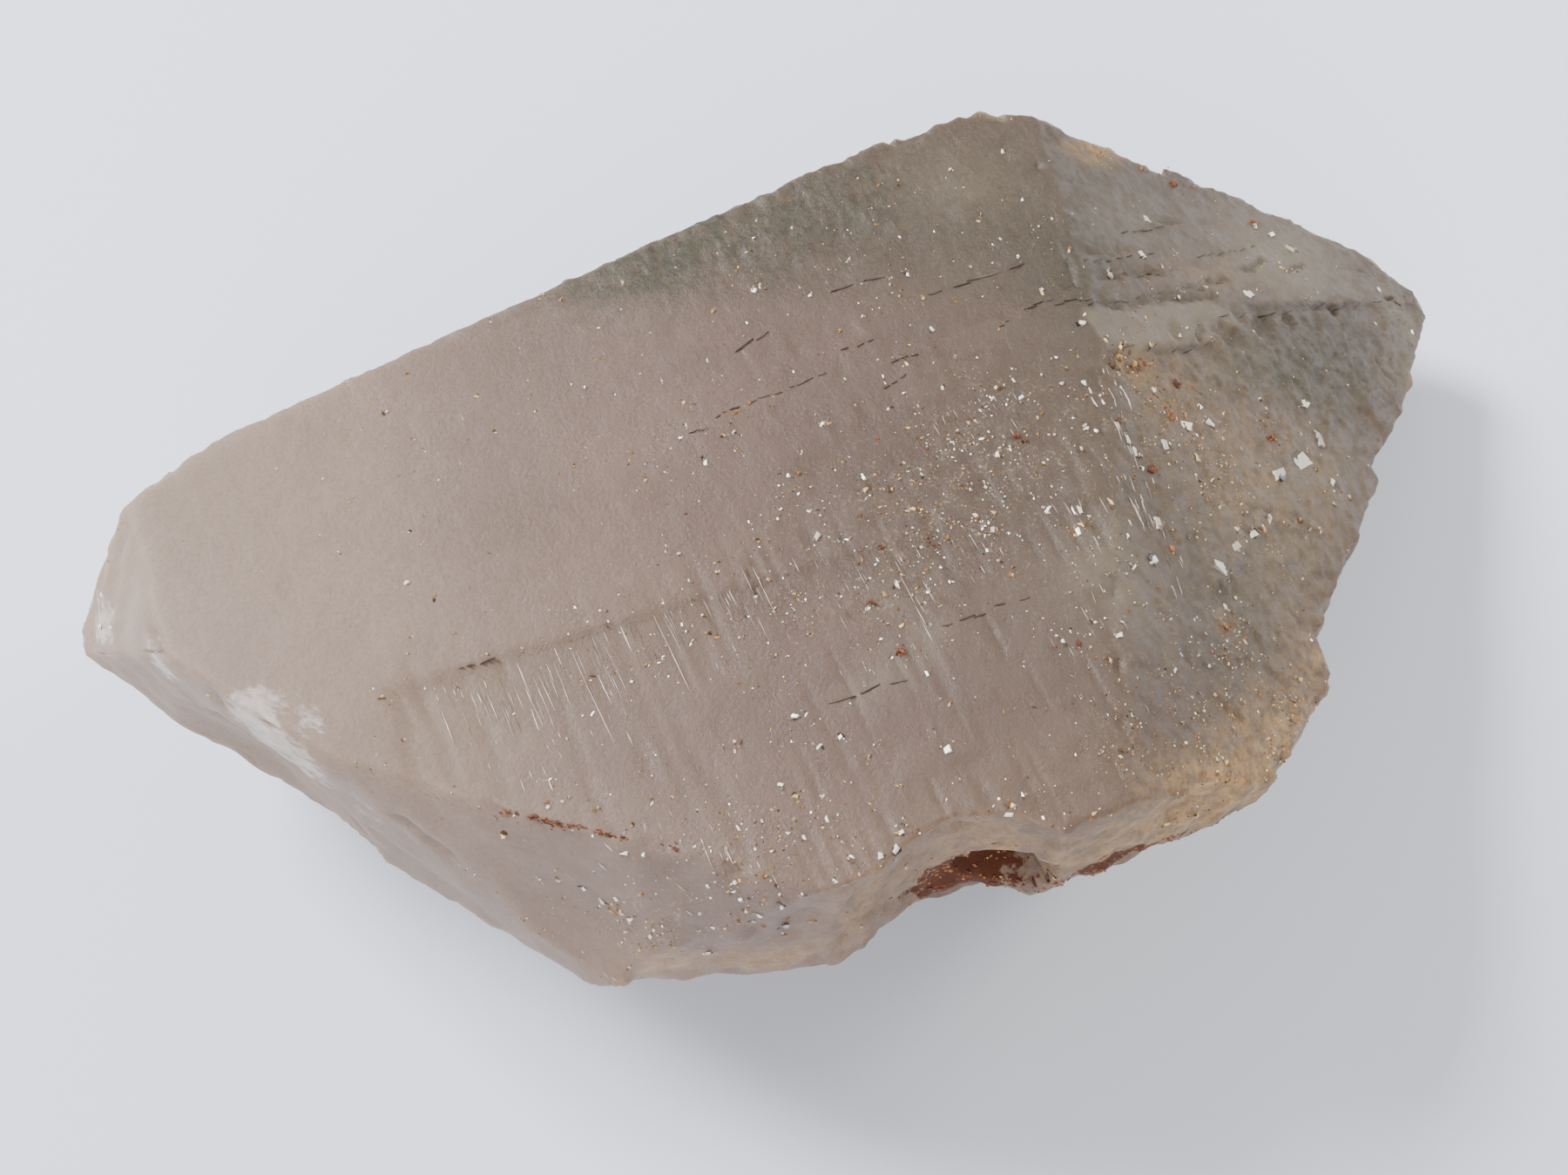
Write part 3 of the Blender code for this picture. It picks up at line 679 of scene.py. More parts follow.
SHADE_SIDE = np.array((0.16, -0.10, -0.12))  # where a large facet's painted-shade plate lies
FACINGS = (unit(166.7, 24.7), unit(-24.7, 28.6))  # etch facets' common facings, left and right
QUAD = np.array([(-0.5, -0.4), (0.4, -0.5), (0.5, 0.35), (-0.35, 0.5)])
KITE = np.array([(-0.5, -0.15), (0.15, -0.5), (0.5, 0.1), (-0.2, 0.5)])
LOZENGE = np.array([(-0.5, 0.0), (-0.05, -0.5), (0.5, 0.0), (0.05, 0.5)])
PLATE_FACES = np.array([
    (3, 2, 1, 0), (4, 5, 6, 7), (0, 1, 5, 4), (1, 2, 6, 5), (2, 3, 7, 6), (3, 0, 4, 7)])


def level(heading):
    """Unit vectors in plan."""
    return np.stack([np.cos(heading), np.sin(heading), np.zeros(len(heading))], axis=-1)


def plates_on(centres, normals, heading, tilt, tilt_heading, sizes, heights, chance, taper, outline):
    """Small uneven plates: eight corners each, the upper four drawn in, on tilted frames.

    The frame's Z is the skin's normal plus tilt times a sideways direction, its X is the heading
    with what lies along Z taken off, and its Y is Z crossed with X. The outline is stretched to
    the plate's length and width and made uneven corner by corner.
    """
    count = len(centres)
    z = unit_rows(normals + tilt[:, None] * level(tilt_heading))
    x = level(heading)
    x = unit_rows(x - z * (x * z).sum(axis=1, keepdims=True))
    y = np.cross(z, x)
    base = outline[None] * sizes[:, None, :] * chance.uniform(*UNEVEN, (count, 4, 2))
    flat = np.concatenate([base, base * taper], axis=1)
    rise = np.repeat(np.stack([SUNK * heights, PROUD * heights], axis=1), 4, axis=1)
    corners = (centres[:, None] + x[:, None] * flat[..., :1] + y[:, None] * flat[..., 1:]
               + z[:, None] * rise[..., None])
    faces = PLATE_FACES[None] + np.arange(count)[:, None, None] * MARK_CORNERS
    return corners.reshape(-1, 3), faces.reshape(-1, 4).tolist()


def lean_to(chance, normals, facing, spread):
    """Tilt and its direction that turn plates from the skin's normals to one facing each.

    The sideways part is facing.xy * normal.z / facing.z - normal.xy, with normal noise of the
    spread added, and never more than MOST_TILT.
    """
    side = facing[:, :2] * normals[:, 2:] / facing[:, 2:] - normals[:, :2]
    side += chance.normal(0.0, spread, side.shape)
    return np.minimum(np.hypot(*side.T), MOST_TILT), np.arctan2(side[:, 1], side[:, 0])


def settle_on(points, normals, places):
    """Skin points above or below places in plan, on the nearest upper point's plane.

    A place that lies off the stone goes to the nearest point itself.
    """
    upper = np.flatnonzero(normals[:, 2] > UPPER)
    near = upper[nearest_points(points[upper, :2], places)]
    off = np.linalg.norm(places - points[near, :2], axis=1, keepdims=True) > ON_STONE
    places = np.where(off, points[near, :2], places)
    away = ((places - points[near, :2]) * normals[near, :2]).sum(axis=1)
    height = points[near, 2] - away / normals[near, 2]
    return np.concatenate([places, height[:, None]], axis=1), normals[near]


def crumble(chance, points, normals, rows, plates, spread, shares, lift=0.0):
    """Crumbs, each strewn as several plates round its place: centres, normals and sizes.

    A plate's size is a random share of its crumb's, and lift raises the crumb off the skin.
    """
    places, up = settle_on(points, normals, rows[:, :2])
    centres = np.repeat(places + lift * up, plates, axis=0)
    centres += chance.normal(0.0, spread, centres.shape) * (1.0, 1.0, 0.2)
    sizes = np.repeat(rows[:, 2:], plates, axis=0) * chance.uniform(*shares, (len(centres), 1))
    return centres, np.repeat(up, plates, axis=0), sizes


def dress(piece, material):
    """Gives a piece its material and its body."""
    piece.data.materials.append(material)
    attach(piece, "root")


def add_marks(name, plates, tone, finish):
    """A piece of small marks, dressed, with a tone of its own for each plate."""
    piece = piece_mesh(name, *plates, smooth=False)
    set_field(piece.data, "tone", np.repeat(tone, MARK_CORNERS))
    dress(piece, speck_material(finish))


# Materials.


def fill_in(tree, node, settings):
    """Sets a node's properties and plain inputs, and links the inputs that are given a socket."""
    for name, value in settings.items():
        if isinstance(value, bpy.types.NodeSocket):
            tree.links.new(value, node.inputs[name])
        elif isinstance(name, str) and hasattr(node, name):
            setattr(node, name, value)
        else:
            node.inputs[name].default_value = value


def add_node(tree, kind, output, settings):
    """Adds a shader node with its settings and links, and gives one of its outputs."""
    node = tree.nodes.new("ShaderNode" + kind)
    fill_in(tree, node, settings)
    return node.outputs[output]


def new_material(name):
    """A node material with only its Principled shader: (material, tree, shader)."""
    material = bpy.data.materials.new(name)
    material.use_nodes = True
    return material, material.node_tree, material.node_tree.nodes["Principled BSDF"]


# Noise patterns in the stone: the grain's size in millimetres, detail, roughness, how far it is
# stretched, and the turn of that stretch.
PATTERNS = {
    "wash": (17.0, 1.0, 0.5, 1.0, 0.0),
    "mottle": (7.0, 3.0, 0.5, 1.0, 0.0),
    "medium": (1.1, 3.0, 0.6, 1.0, 0.0),
    "film": (0.9, 4.0, 0.7, 1.0, 0.0),
    "crust": (0.7, 4.0, 0.7, 1.0, 0.0),
    "clay": (0.6, 3.0, 0.7, 1.0, 0.0),
    "pits": (0.55, 3.0, 0.7, 1.0, 0.0),
    "fine": (0.26, 4.0, 0.75, 1.0, 0.0),
    "bruise": (0.8, 5.0, 0.75, 2.4, -0.95),
    "crush": (0.5, 3.0, 0.7, 3.0, -0.95),
}

# The finishes' fields that the skin carries for its material.
FIELDS = ("brown", "milk", "veil", "smoke", "ochre", "shade", "groove", "frost", "grit", "rust")


def quartz_material(colours):
    """Milky smoky quartz with an etched surface.

    Quartz has an index of refraction of 1.544. Fine veils and fluid inclusions scatter light a
    few millimetres deep, so the stone glows softly and its thin edges are light, and natural
    etching leaves the faces half matt, with a grain of a quarter of a millimetre.
    """
    material, tree, shader = new_material("quartz_milky_smoky_etched")
    place = add_node(tree, "TexCoord", "Object", {})
    value = {}
    for name in FIELDS:
        value[name] = add_node(tree, "Attribute", "Fac", {"attribute_name": name})
    for name, (size, detail, rough, stretch, turn) in PATTERNS.items():
        lie = add_node(tree, "Mapping", "Vector", {
            "vector_type": "TEXTURE", "Rotation": (0.0, 0.0, turn), "Scale": (stretch, 1.0, 1.0),
            "Vector": place})
        value[name] = add_node(tree, "TexNoise", "Fac", {
            "Scale": 1.0 / (size * MM), "Detail": detail, "Roughness": rough, "Vector": lie})

    def share(*parts):
        """The product of values, each faded from low to high where those are given."""
        total = None
        for name, *fade in parts:
            part = value[name]
            if fade:
                limits = dict(enumerate(fade, start=1))
                part = add_node(tree, "MapRange", "Result", {
                    "interpolation_type": "SMOOTHSTEP", "Value": part, **limits})
            total = part if total is None else add_node(
                tree, "Math", "Value", {"operation": "MULTIPLY", 0: total, 1: part})
        return total

    # Crisp-edged patches, where the field plus 1.6 times the pattern passes 1.3.
    for name, pattern, soft in (("frost", "bruise", 0.18), ("rust", "crust", 0.12)):
        value["patch"] = add_node(tree, "Math", "Value", {
            "operation": "MULTIPLY_ADD", 0: value[pattern], 1: 1.6, 2: value[name]})
        value[name] = share(("patch", 1.3 - soft, 1.3 + soft))
    clay = add_node(tree, "Mix", 2, {
        "data_type": "RGBA", 0: share(("clay", 0.45, 0.65, 0.0, 0.8)),
        6: colours.ochre, 7: srgb("#8A6238")})

    # From the bare stone up: a finish, how it mixes, and the values whose product is its share.
    layers = (
        (colours.brown, "MIX", ["brown"]),
        (colours.milk, "MIX", ["milk"]),
        (colours.veil, "MIX", ["veil"], ("medium", 0.2, 0.6, 0.6, 1.0)),
        (colours.smoke, "MIX", ["smoke"], ("medium", 0.25, 0.7, 0.65, 1.0)),
        (srgb("#D7D8DA"), "MULTIPLY", ["smoke"], ("pits", 0.46, 0.6)),
        (clay, "MIX", ["ochre"], ("film", 0.3, 0.65, 0.25, 1.0)),
        # Darker stone, with painted shade on the front slope and the left break's lower wall.
        (srgb("#E5E1D8"), "MULTIPLY", ["shade"]),
        (srgb("#F0EFEF"), "MULTIPLY", ("mottle", 0.3, 0.7)),
        (srgb("#FFFDF8"), "MULTIPLY", ("wash", 0.35, 0.65)),
        (srgb("#EAE8E7"), "MULTIPLY", ("fine", 0.35, 0.75)),
        (srgb("#544633"), "MIX", ["groove"], ("fine", 0.25, 0.6, 0.4, 0.9)),
        (colours.frost, "MIX", ["frost"], ("crush", 0.3, 0.6, 0.35, 1.0)),
        (srgb("#C9B594"), "MIX", ["grit"], ("fine", 0.52, 0.62), ("medium", 0.45, 0.6, 0.0, 0.3)),
        (colours.rust, "MIX", ["rust"]),
    )
    colour = colours.body
    for over, kind, *parts in layers:
        colour = add_node(tree, "Mix", 2, {
            "data_type": "RGBA", "blend_type": kind, 0: share(*parts), 6: colour, 7: over})
    rough = share(("medium", 0.3, 0.7, 0.34, 0.62))
    for name, full in (("milk", 0.62), ("rust", 1.0)):
        rough = add_node(tree, "Mix", 0, {0: value[name], 2: rough, 3: full})
    low = add_node(tree, "Bump", "Normal", {
        "Strength": 0.5, "Distance": 0.00012, "Height": value["medium"]})
    bump = add_node(tree, "Bump", "Normal", {
        "Strength": share(("milk", 0.0, 1.0, 0.85, 0.25)), "Distance": 0.0001,
        "Height": value["fine"], "Normal": low})
    fill_in(tree, shader, {
        "Base Color": colour, "Roughness": rough, "IOR": QUARTZ_IOR, "Normal": bump,
        "Subsurface Weight": share(("rust", 0.0, 1.0, 0.35, 0.0)),
        "Subsurface Radius": (1.0, 0.85, 0.7), "Subsurface Scale": 0.003})
    return material


# The small marks' finishes: a dark, a middle and a light tone, and the roughness.
FINISHES = {
    # Broken edges of growth striations in quartz: clean stone that catches a thin pale light.
    # its light tones are painted highlight and its dark ones painted shade
    "quartz_striation_edge_painted_light": (("#5A4C42", "#A09085", "#EBDDD3"), 0.3),
    # Etched crystal facets of quartz: glassy, so they flash white or stay dark.
    # the white tone is a painted glint and the dark tone painted shade
    "quartz_facet_painted_glint_and_shade": (("#2B2119", "#A8947C", "#FFF9EE"), 0.15),
    # Iron oxide film grown on quartz: thin and smooth, so it shines like brass.
    # the light tone is a painted glint and the dark tone painted shade
    "iron_film_golden_painted_glint": (("#4A3118", "#A57A42", "#FFE7B8"), 0.25),
    # Iron rust crystallised in small hollows: dry and crumbly, so it stays dull.
    "iron_rust_grain": (("#4A2410", "#86491F", "#B9773F"), 0.75),
    # Open cracks in quartz, worn by etching: soft brown shadow with no light of its own.
    "quartz_crack_shadow": (("#2E2820", "#453D33", "#6B6155"), 0.6),
}


def speck_material(name):
    """A small mark's finish: each mark's own tone picks between a dark, a middle and a light."""
    tones, roughness = FINISHES[name]
    material, tree, shader = new_material(name)
    tone = add_node(tree, "Attribute", "Fac", {"attribute_name": "tone"})
    shades = add_node(tree, "ValToRGB", "Color", {"Fac": tone})
    stops = shades.node.color_ramp.elements
    stops.new(0.45)
    for stop, code in zip(stops, tones):
        stop.color = srgb(code)
    place = add_node(tree, "TexCoord", "Object", {})
    cloudy = add_node(
        tree, "TexNoise", "Fac", {"Scale": 1.0 / (0.25 * MM), "Detail": 1.0, "Vector": place})
    shade = add_node(tree, "Mix", 2, {
        "data_type": "RGBA", "blend_type": "MULTIPLY", 0: cloudy, 6: shades,
        7: srgb("#E1E1E1")})
    fill_in(tree, shader, {"Base Color": shade, "Roughness": roughness, "IOR": QUARTZ_IOR})
    return material


# Operators.


class QUARTZ_OT_skin(bpy.types.Operator):
    """Build the crystal's skin, with its breaks, ledges, striations and etched relief"""

    bl_idname = "quartz.skin"
    bl_label = "Crystal skin"

    def execute(self, context):
        grid, edge = skin_grid(context.scene.quartz_shape)
        points, faces = closed_tube(grid)
        skin = piece_mesh("crystal_skin", points, faces, smooth=True)
        worn = np.concatenate([edge.ravel(), edge[:1].mean(axis=1), edge[-1:].mean(axis=1)])
        x, y, z = points.T
        up = read(skin.data.vertex_normals, "vector", 3)[:, 2]
        wander = 3.0 * noise(points, 8.0, 61)
        along, left, length = along_line(points, *STRIATED_BAND)
        left = left + 0.15 * noise(points, 1.2, 64)
        band = ramp(-0.1, 0.15, left) * np.exp(-np.maximum(left, 0.0) / 4.5)
        band *= between_ends(along, length, 0.0, 2.0) * ramp(0.95, 0.99, up)
        tilted = x + wander - 0.4 * np.clip(y, -10.0, 4.0) - 0.8 * np.maximum(y - 4.0, 0.0)
        fields = {
            "milk": ramp(2.0, -36.0, x + wander - 0.3 * np.minimum(y + 14.0, 0.0)),
            "brown": ramp(-4.0, 24.0, tilted) - 0.15 * ramp(21.0, 30.0, x),
        }
        shifted = points + 0.8 * noise(points, 2.5, 62)[:, None]
        for name in CLOUDS:
            fields[name] = cloud(shifted, name)
        rim = worn * ramp(0.80, 0.65, up) * ramp(6.0, 10.0, z) * ramp(-26.0, -18.0, x)
        rim = 0.32 * rim * (0.3 + 0.7 * ramp(-6.0, 6.0, y))
        fields["frost"] = np.maximum(fields["frost"], rim)
        far = ramp(-0.1, 0.1, along_line(points, *RIDGE)[1] + 0.2 * noise(points, 1.0, 63))
        point_end = ramp(19.0, 22.0, x)
        near_smoke = fields.pop("smoke_near") * (1.0 - far * point_end)
        fields["smoke"] = np.maximum(fields["smoke"], near_smoke)
        plate = 0.55 * inside(points, PLATE, 0.12)
        # The far termination's veil is partly painted sheen.
        veils = (fields["veil"], fields.pop("veil_and_sheen_far") * far * point_end, plate)
        fields["veil"] = np.maximum.reduce(veils)
        fields["smoke"] *= 1.0 - fields["veil"]
        fields["shade"] = np.maximum(fields["shade"], band)
        fields["ochre"] *= 0.25 + 0.75 * ramp(0.99, 0.90, up)
        deep, near = troughs(points)
        fields["groove"] = point_end * np.clip(deep / 0.15 + 0.35 * near, 0.0, 1.0)
        for name, values in fields.items():
            set_field(skin.data, name, values)
        dress(skin, quartz_material(context.scene.quartz_colours))
        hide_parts(NODE)
        return {"FINISHED"}


class QUARTZ_OT_strokes(bpy.types.Operator):
    """Add the fine striation ridges, group by group, across the uppermost face and its stairs"""

    bl_idname = "quartz.strokes"
    bl_label = "Striation ridges"

    GROUPS = (  # first and last x, first and last y of the upper ends, length, number, lightness
        (-21.9, -19.2, -8.2, -9.6, 1.7, 20, 0.65), (-18.8, -12.2, -8.1, -10.6, 3.4, 38, 0.62),
        (-12.4, -3.5, -7.8, -8.8, 2.4, 40, 0.5), (-21, -12, -11.5, -15.5, 0.8, 26, 0.7),
        (-8, 3, -8.4, -13, 1, 30, 0.4), (1.4, 5.8, -10.2, -14.5, 1.5, 14, 0.6),
        (-2, 4.5, -15.4, -16.6, 0.7, 18, 0.55), (6.5, 9.5, -9.5, -13, 1.2, 10, 0.55),
        (9, 14.5, -2.5, -5.5, 0.6, 30, 0.35), (13, 16, -10.5, -14, 1.1, 12, 0.6),
        (17.6, 18.5, -11, -13, 0.8, 9, 0.9), (19.6, 20.8, -3.2, -6.4, 0.9, 10, 0.95),
        (18.6, 20.2, -6, -10.4, 0.8, 12, 0.7), (17, 19.4, -10, -18, 0.9, 20, 0.5),
        (8, 13.5, -16, -24, 0.8, 20, 0.4), (-20, -9, -19.5, -25.5, 0.8, 60, 0.8),
        (-28, 14, 10, -20, 0.3, 80, 0.35),
    )

    def execute(self, context):
        chance = np.random.default_rng(SEED + 1)
        points, normals, _area, _mesh = skin_arrays()
        rows = np.array(self.GROUPS)
        group = np.repeat(rows, rows[:, 5].astype(int), axis=0)
        count = len(group)
        part = chance.uniform(0.0, 1.0, (2, count))
        length = group[:, 4] * chance.gamma(3.0, 0.33, count) + 0.15
        x = group[:, 0] + (group[:, 1] - group[:, 0]) * part[0]
        y = group[:, 2] + (group[:, 3] - group[:, 2]) * part[1] ** 1.4 - 0.5 * length
        centres, up = settle_on(points, normals, np.stack([x, y], axis=1))
        flat = up[:, 2] > np.where(length < 0.9, 0.4, 0.6)
        centres, up, length, light = centres[flat], up[flat], length[flat], group[flat, 6]
        count = len(length)
        heading = ALONG_Y + chance.normal(0.02, 0.02, count)
        width = chance.uniform(0.04, 0.09, count)
        plates = plates_on(
            centres, up, heading, tilt=chance.uniform(0.0, 0.3, count),
            tilt_heading=chance.choice([0.0, np.pi], count), sizes=np.stack([length, width], 1),
            heights=np.full(count, 0.07), chance=chance, taper=0.6, outline=LOZENGE)
        # The ridges' light tones are painted highlight, their dark ones painted shade.
        tone = chance.beta(4.0 * light, 4.0 * (1.0 - light))
        add_marks("striation_ridges", plates, tone, "quartz_striation_edge_painted_light")
        return {"FINISHED"}


class QUARTZ_OT_glints(bpy.types.Operator):
    """Add etch facets of painted glint and shade: the large ones by name, the rest strewn over the
    grit
    """

    bl_idname = "quartz.glints"
    bl_label = "Etch facets"

    LARGE = (  # x, y and z of the place, length, width
        (32.7, -8.8, 16.2, 2.3, 1.3), (30.4, -9.8, 17.4, 1.3, 0.8), (35.2, -7.3, 14.9, 1.5, 0.9),
        (34.4, -10.3, 14.5, 0.9, 0.5), (22, -8.4, 22.4, 1.2, 0.6), (18.8, -12.9, 23.2, 1.2, 0.7),
        (17.5, -15.3, 23.6, 0.8, 0.5), (21.9, -15.9, 20.4, 1.1, 0.7), (23.9, -14.3, 19.6, 1.2, 0.6),
        (25.8, -13.7, 18.6, 0.9, 0.6), (27.6, -12.8, 17.8, 0.7, 0.5), (24.5, -6.7, 21.2, 0.9, 0.6),
        (26.4, -6.6, 20, 0.7, 0.5), (35.4, -4.9, 15.2, 1, 0.6), (24.3, 3.6, 23.4, 0.7, 0.5),
        (31.6, 3.4, 19, 0.7, 0.4), (34.7, 3.1, 17.1, 1.3, 0.7), (27.6, 5.2, 21.7, 0.7, 0.4),
        (40, 8.3, 14.6, 0.7, 0.5), (41.1, 7.4, 13.8, 1.4, 0.8), (29.5, 8.3, 20.9, 0.6, 0.4),
        (33.7, 11.5, 18.8, 0.6, 0.4), (38.9, 9, 15.3, 0.8, 0.5), (1.6, -22, 25, 0.8, 0.7),
        (-38, 6.6, 17.9, 0.5, 0.3), (-37.2, 5.4, 19.2, 0.4, 0.3), (-37.4, 7.8, 19.4, 0.4, 0.3),
        (-21.2, -2, 25, 0.4, 0.3), (47.6, 4.6, 9.4, 0.4, 0.3), (48.6, 1.6, 7.6, 0.5, 0.3),
        (-17.7, -21.6, 20.5, 0.7, 0.3), (-16.7, -21.9, 21.1, 0.8, 0.25),
        (-18.3, -20.7, 21.2, 0.7, 0.2), (-15.8, -23.6, 19.6, 0.4, 0.2),
        (-16.6, -22.7, 20, 0.5, 0.3), (-15.7, -20.8, 24.3, 0.5, 0.25),
        (-11.2, -24.2, 24.4, 0.5, 0.2), (-10.6, -25.9, 22.5, 0.7, 0.25),
        (-10.9, -26.2, 21.5, 0.7, 0.25), (-9.2, -26.1, 23.9, 0.6, 0.25),
        (-9.5, -27.1, 20.7, 0.7, 0.3), (-13.4, -25.9, 18.6, 0.6, 0.2), (-8.8, -22.1, 25, 0.5, 0.2),
        (-5.6, -23.2, 25, 0.6, 0.25), (-3.2, -25.9, 25, 0.6, 0.4), (-3.9, -26.2, 25, 0.5, 0.35),
        (-2.5, -25.4, 25, 0.5, 0.3), (17.2, -3.7, 25, 0.4, 0.25), (18.4, -3.9, 25, 0.4, 0.3),
        (18.6, -4.5, 24.9, 0.7, 0.2), (18.5, -5.4, 24.9, 0.9, 0.2), (18.9, -5.4, 24.8, 0.7, 0.18),
        (18.9, -7.1, 24.4, 0.7, 0.2), (19.3, -7.9, 24.2, 0.9, 0.35), (19.6, -8.9, 23.8, 0.8, 0.3),
        (19.5, -9.7, 23.7, 0.4, 0.25), (20.2, -4.4, 24.4, 0.45, 0.2), (20.7, -4.6, 24.1, 0.9, 0.2),
        (14.1, -11.6, 25, 0.9, 0.2), (14.4, -11.7, 25, 0.7, 0.2), (13.6, -12.7, 25, 0.5, 0.4),
        (14.9, -12, 25, 0.4, 0.2), (16.9, -12.9, 24.2, 0.6, 0.15), (24.6, -6.9, 21.1, 0.4, 0.25),
        (25.9, -5.6, 20.4, 0.4, 0.3),
    )

    def execute(self, context):
        chance = np.random.default_rng(SEED + 2)
        points, normals, area, mesh = skin_arrays()
        count = context.scene.quartz_shape.glints
        members = (1.0, 0.7, 0.6)  # sizes of the facets of one group
        steep = ramp(0.1, 0.5, normals[:, 2])
        slope = ramp(0.3, 0.45, normals[:, 0]) * steep
        clump = 0.25 + ramp(0.0, 0.6, noise(points, 1.8, 72) + 0.5 * noise(points, 5.0, 73))
        density = (0.04 + get_field(mesh, "grit")) * (1.0 - 0.6 * slope) * clump
        density *= 0.1 + 0.9 * ramp(-34.0, -6.0, points[:, 0])
        at, centres, up = strew(
            chance, points, normals, area * density * steep, count, len(members), spread=0.13)
        strewn = len(centres)
        size = np.clip(0.045 + chance.exponential(0.048, count), 0.0, 0.35)
        # Each group's tones: a painted glint, a dark facet of painted shade and a middle one.
        tone = chance.uniform(0.0, 1.0, (count, 3)) * [0.3, 0.2, 0.6] + [0.7, 0.0, 0.1]
        tone[:, 1] += 0.4 * ramp(-6.0, -20.0, points[at, 0])
        sizes = drawn_out(chance, np.outer(size, members).ravel(), 0.8, 2.6)

        rows = np.array(self.LARGE)
        many = len(rows)
        named = nearest_points(points, rows[:, :3])
        large = rows[:, 3:] * chance.uniform(0.75, 1.1, (many, 1))
        sizes = np.concatenate([sizes, large, 1.15 * large])  # each with a painted-shade plate beside it
        tone = np.concatenate([
            tone.ravel(), chance.uniform(BRIGHT_TONE, 1.0, many), chance.uniform(0.0, 0.25, many)])
        shaded = points[named] + 0.7 * SHADE_SIDE * large[:, 1:]
        centres = np.concatenate([centres, points[named], shaded])
        up = np.concatenate([up, normals[named], normals[named]])
        total = len(up)
        heading = chance.choice([0.35, 1.6, 1.6, 2.6], total) + chance.normal(0.0, 0.2, total)
        slim = np.tile(large[:, 0] > SLIM * large[:, 1], 2)
        heading[strewn:][slim] = ALONG_Y
        heights = np.clip(sizes.min(axis=1) * 0.5, 0.06, 0.16)
        heights[-many:] *= 0.5
        tilt = chance.uniform(0.05, 0.5, total)
        tilt_heading = chance.uniform(0.0, 2.0 * np.pi, total)
        tilt[strewn:] *= 0.4
        bright = np.flatnonzero(tone > BRIGHT_TONE)
        facing = np.where(up[bright, :1] > 0.3, *reversed(FACINGS))
        tilt[bright], tilt_heading[bright] = lean_to(chance, up[bright], facing, spread=0.12)
        plates = plates_on(
            centres, up, heading, tilt, tilt_heading, sizes, heights, chance, taper=0.88,
            outline=QUAD)
        add_marks("etch_facets_painted_glints", plates, tone, "quartz_facet_painted_glint_and_shade")
        return {"FINISHED"}


class QUARTZ_OT_flecks(bpy.types.Operator):
    """Add the golden flecks of iron film, with painted glints and shade, and a few larger crumbs of
    it
    """

    bl_idname = "quartz.flecks"
    bl_label = "Golden flecks"

    CRUMBS = (  # place in plan, length, width
        (-22.4, 4.3, 0.6, 0.5), (-3.5, 12.9, 0.7, 0.4), (-8.2, 13.8, 0.6, 0.4),
        (-7.2, 13.2, 0.5, 0.3), (0.9, 9, 0.6, 0.3), (-0.6, 1.7, 0.5, 0.4), (0.2, 2, 0.5, 0.3),
        (-1.6, -0.6, 0.6, 0.3), (3.8, -1, 0.6, 0.3), (12.6, 5.2, 0.6, 0.3), (18.2, 9.6, 0.7, 0.3),
        (21.6, -2.5, 0.8, 0.5), (22.5, -2.9, 0.7, 0.5), (-17, -22, 0.4, 0.3),
        (-15.5, -22.4, 0.4, 0.3),
    )

    def execute(self, context):
        chance = np.random.default_rng(SEED + 3)
        points, normals, area, mesh = skin_arrays()
        steep = ramp(0.0, 0.4, normals[:, 2])
        density = get_field(mesh, "grit") ** 1.3 + 0.6 * get_field(mesh, "ochre") + 0.03
        clump = ramp(0.0, 0.7, noise(points, 2.2, 71) + 0.3)
        count = context.scene.quartz_shape.flecks
        weight = area * density * clump * steep
        _at, centres, up = strew(chance, points, normals, weight, count, 2, spread=0.10)
        size = np.clip(0.05 + chance.exponential(0.06, count), 0.0, 0.4)
        sizes = drawn_out(chance, np.repeat(size, 2), 0.8, 2.2)
        # Each pair's tones: golden up to a painted glint, and a dark one of painted shade.
        tone = chance.uniform(0.0, 1.0, (count, 2)) * [0.6, 0.35] + [0.4, 0.0]

        crumbs, crumbs_up, crumb_sizes = crumble(
            chance, points, normals, np.array(self.CRUMBS), CRUMB_PLATES, spread=0.12,
            shares=(0.3, 0.8))
        sizes = np.concatenate([sizes, crumb_sizes])
        tone = np.concatenate([tone.ravel(), chance.uniform(0.25, 0.8, len(crumbs))])
        total = len(tone)
        plates = plates_on(
            np.concatenate([centres, crumbs]), np.concatenate([up, crumbs_up]),
            heading=chance.uniform(0.0, np.pi, total), tilt=chance.uniform(0.0, 0.5, total),
            tilt_heading=chance.uniform(0.0, 2.0 * np.pi, total), sizes=sizes,
            heights=np.clip(0.5 * sizes[:, 1], 0.06, 0.15), chance=chance, taper=0.7, outline=KITE)
        add_marks("golden_flecks", plates, tone, "iron_film_golden_painted_glint")
        return {"FINISHED"}


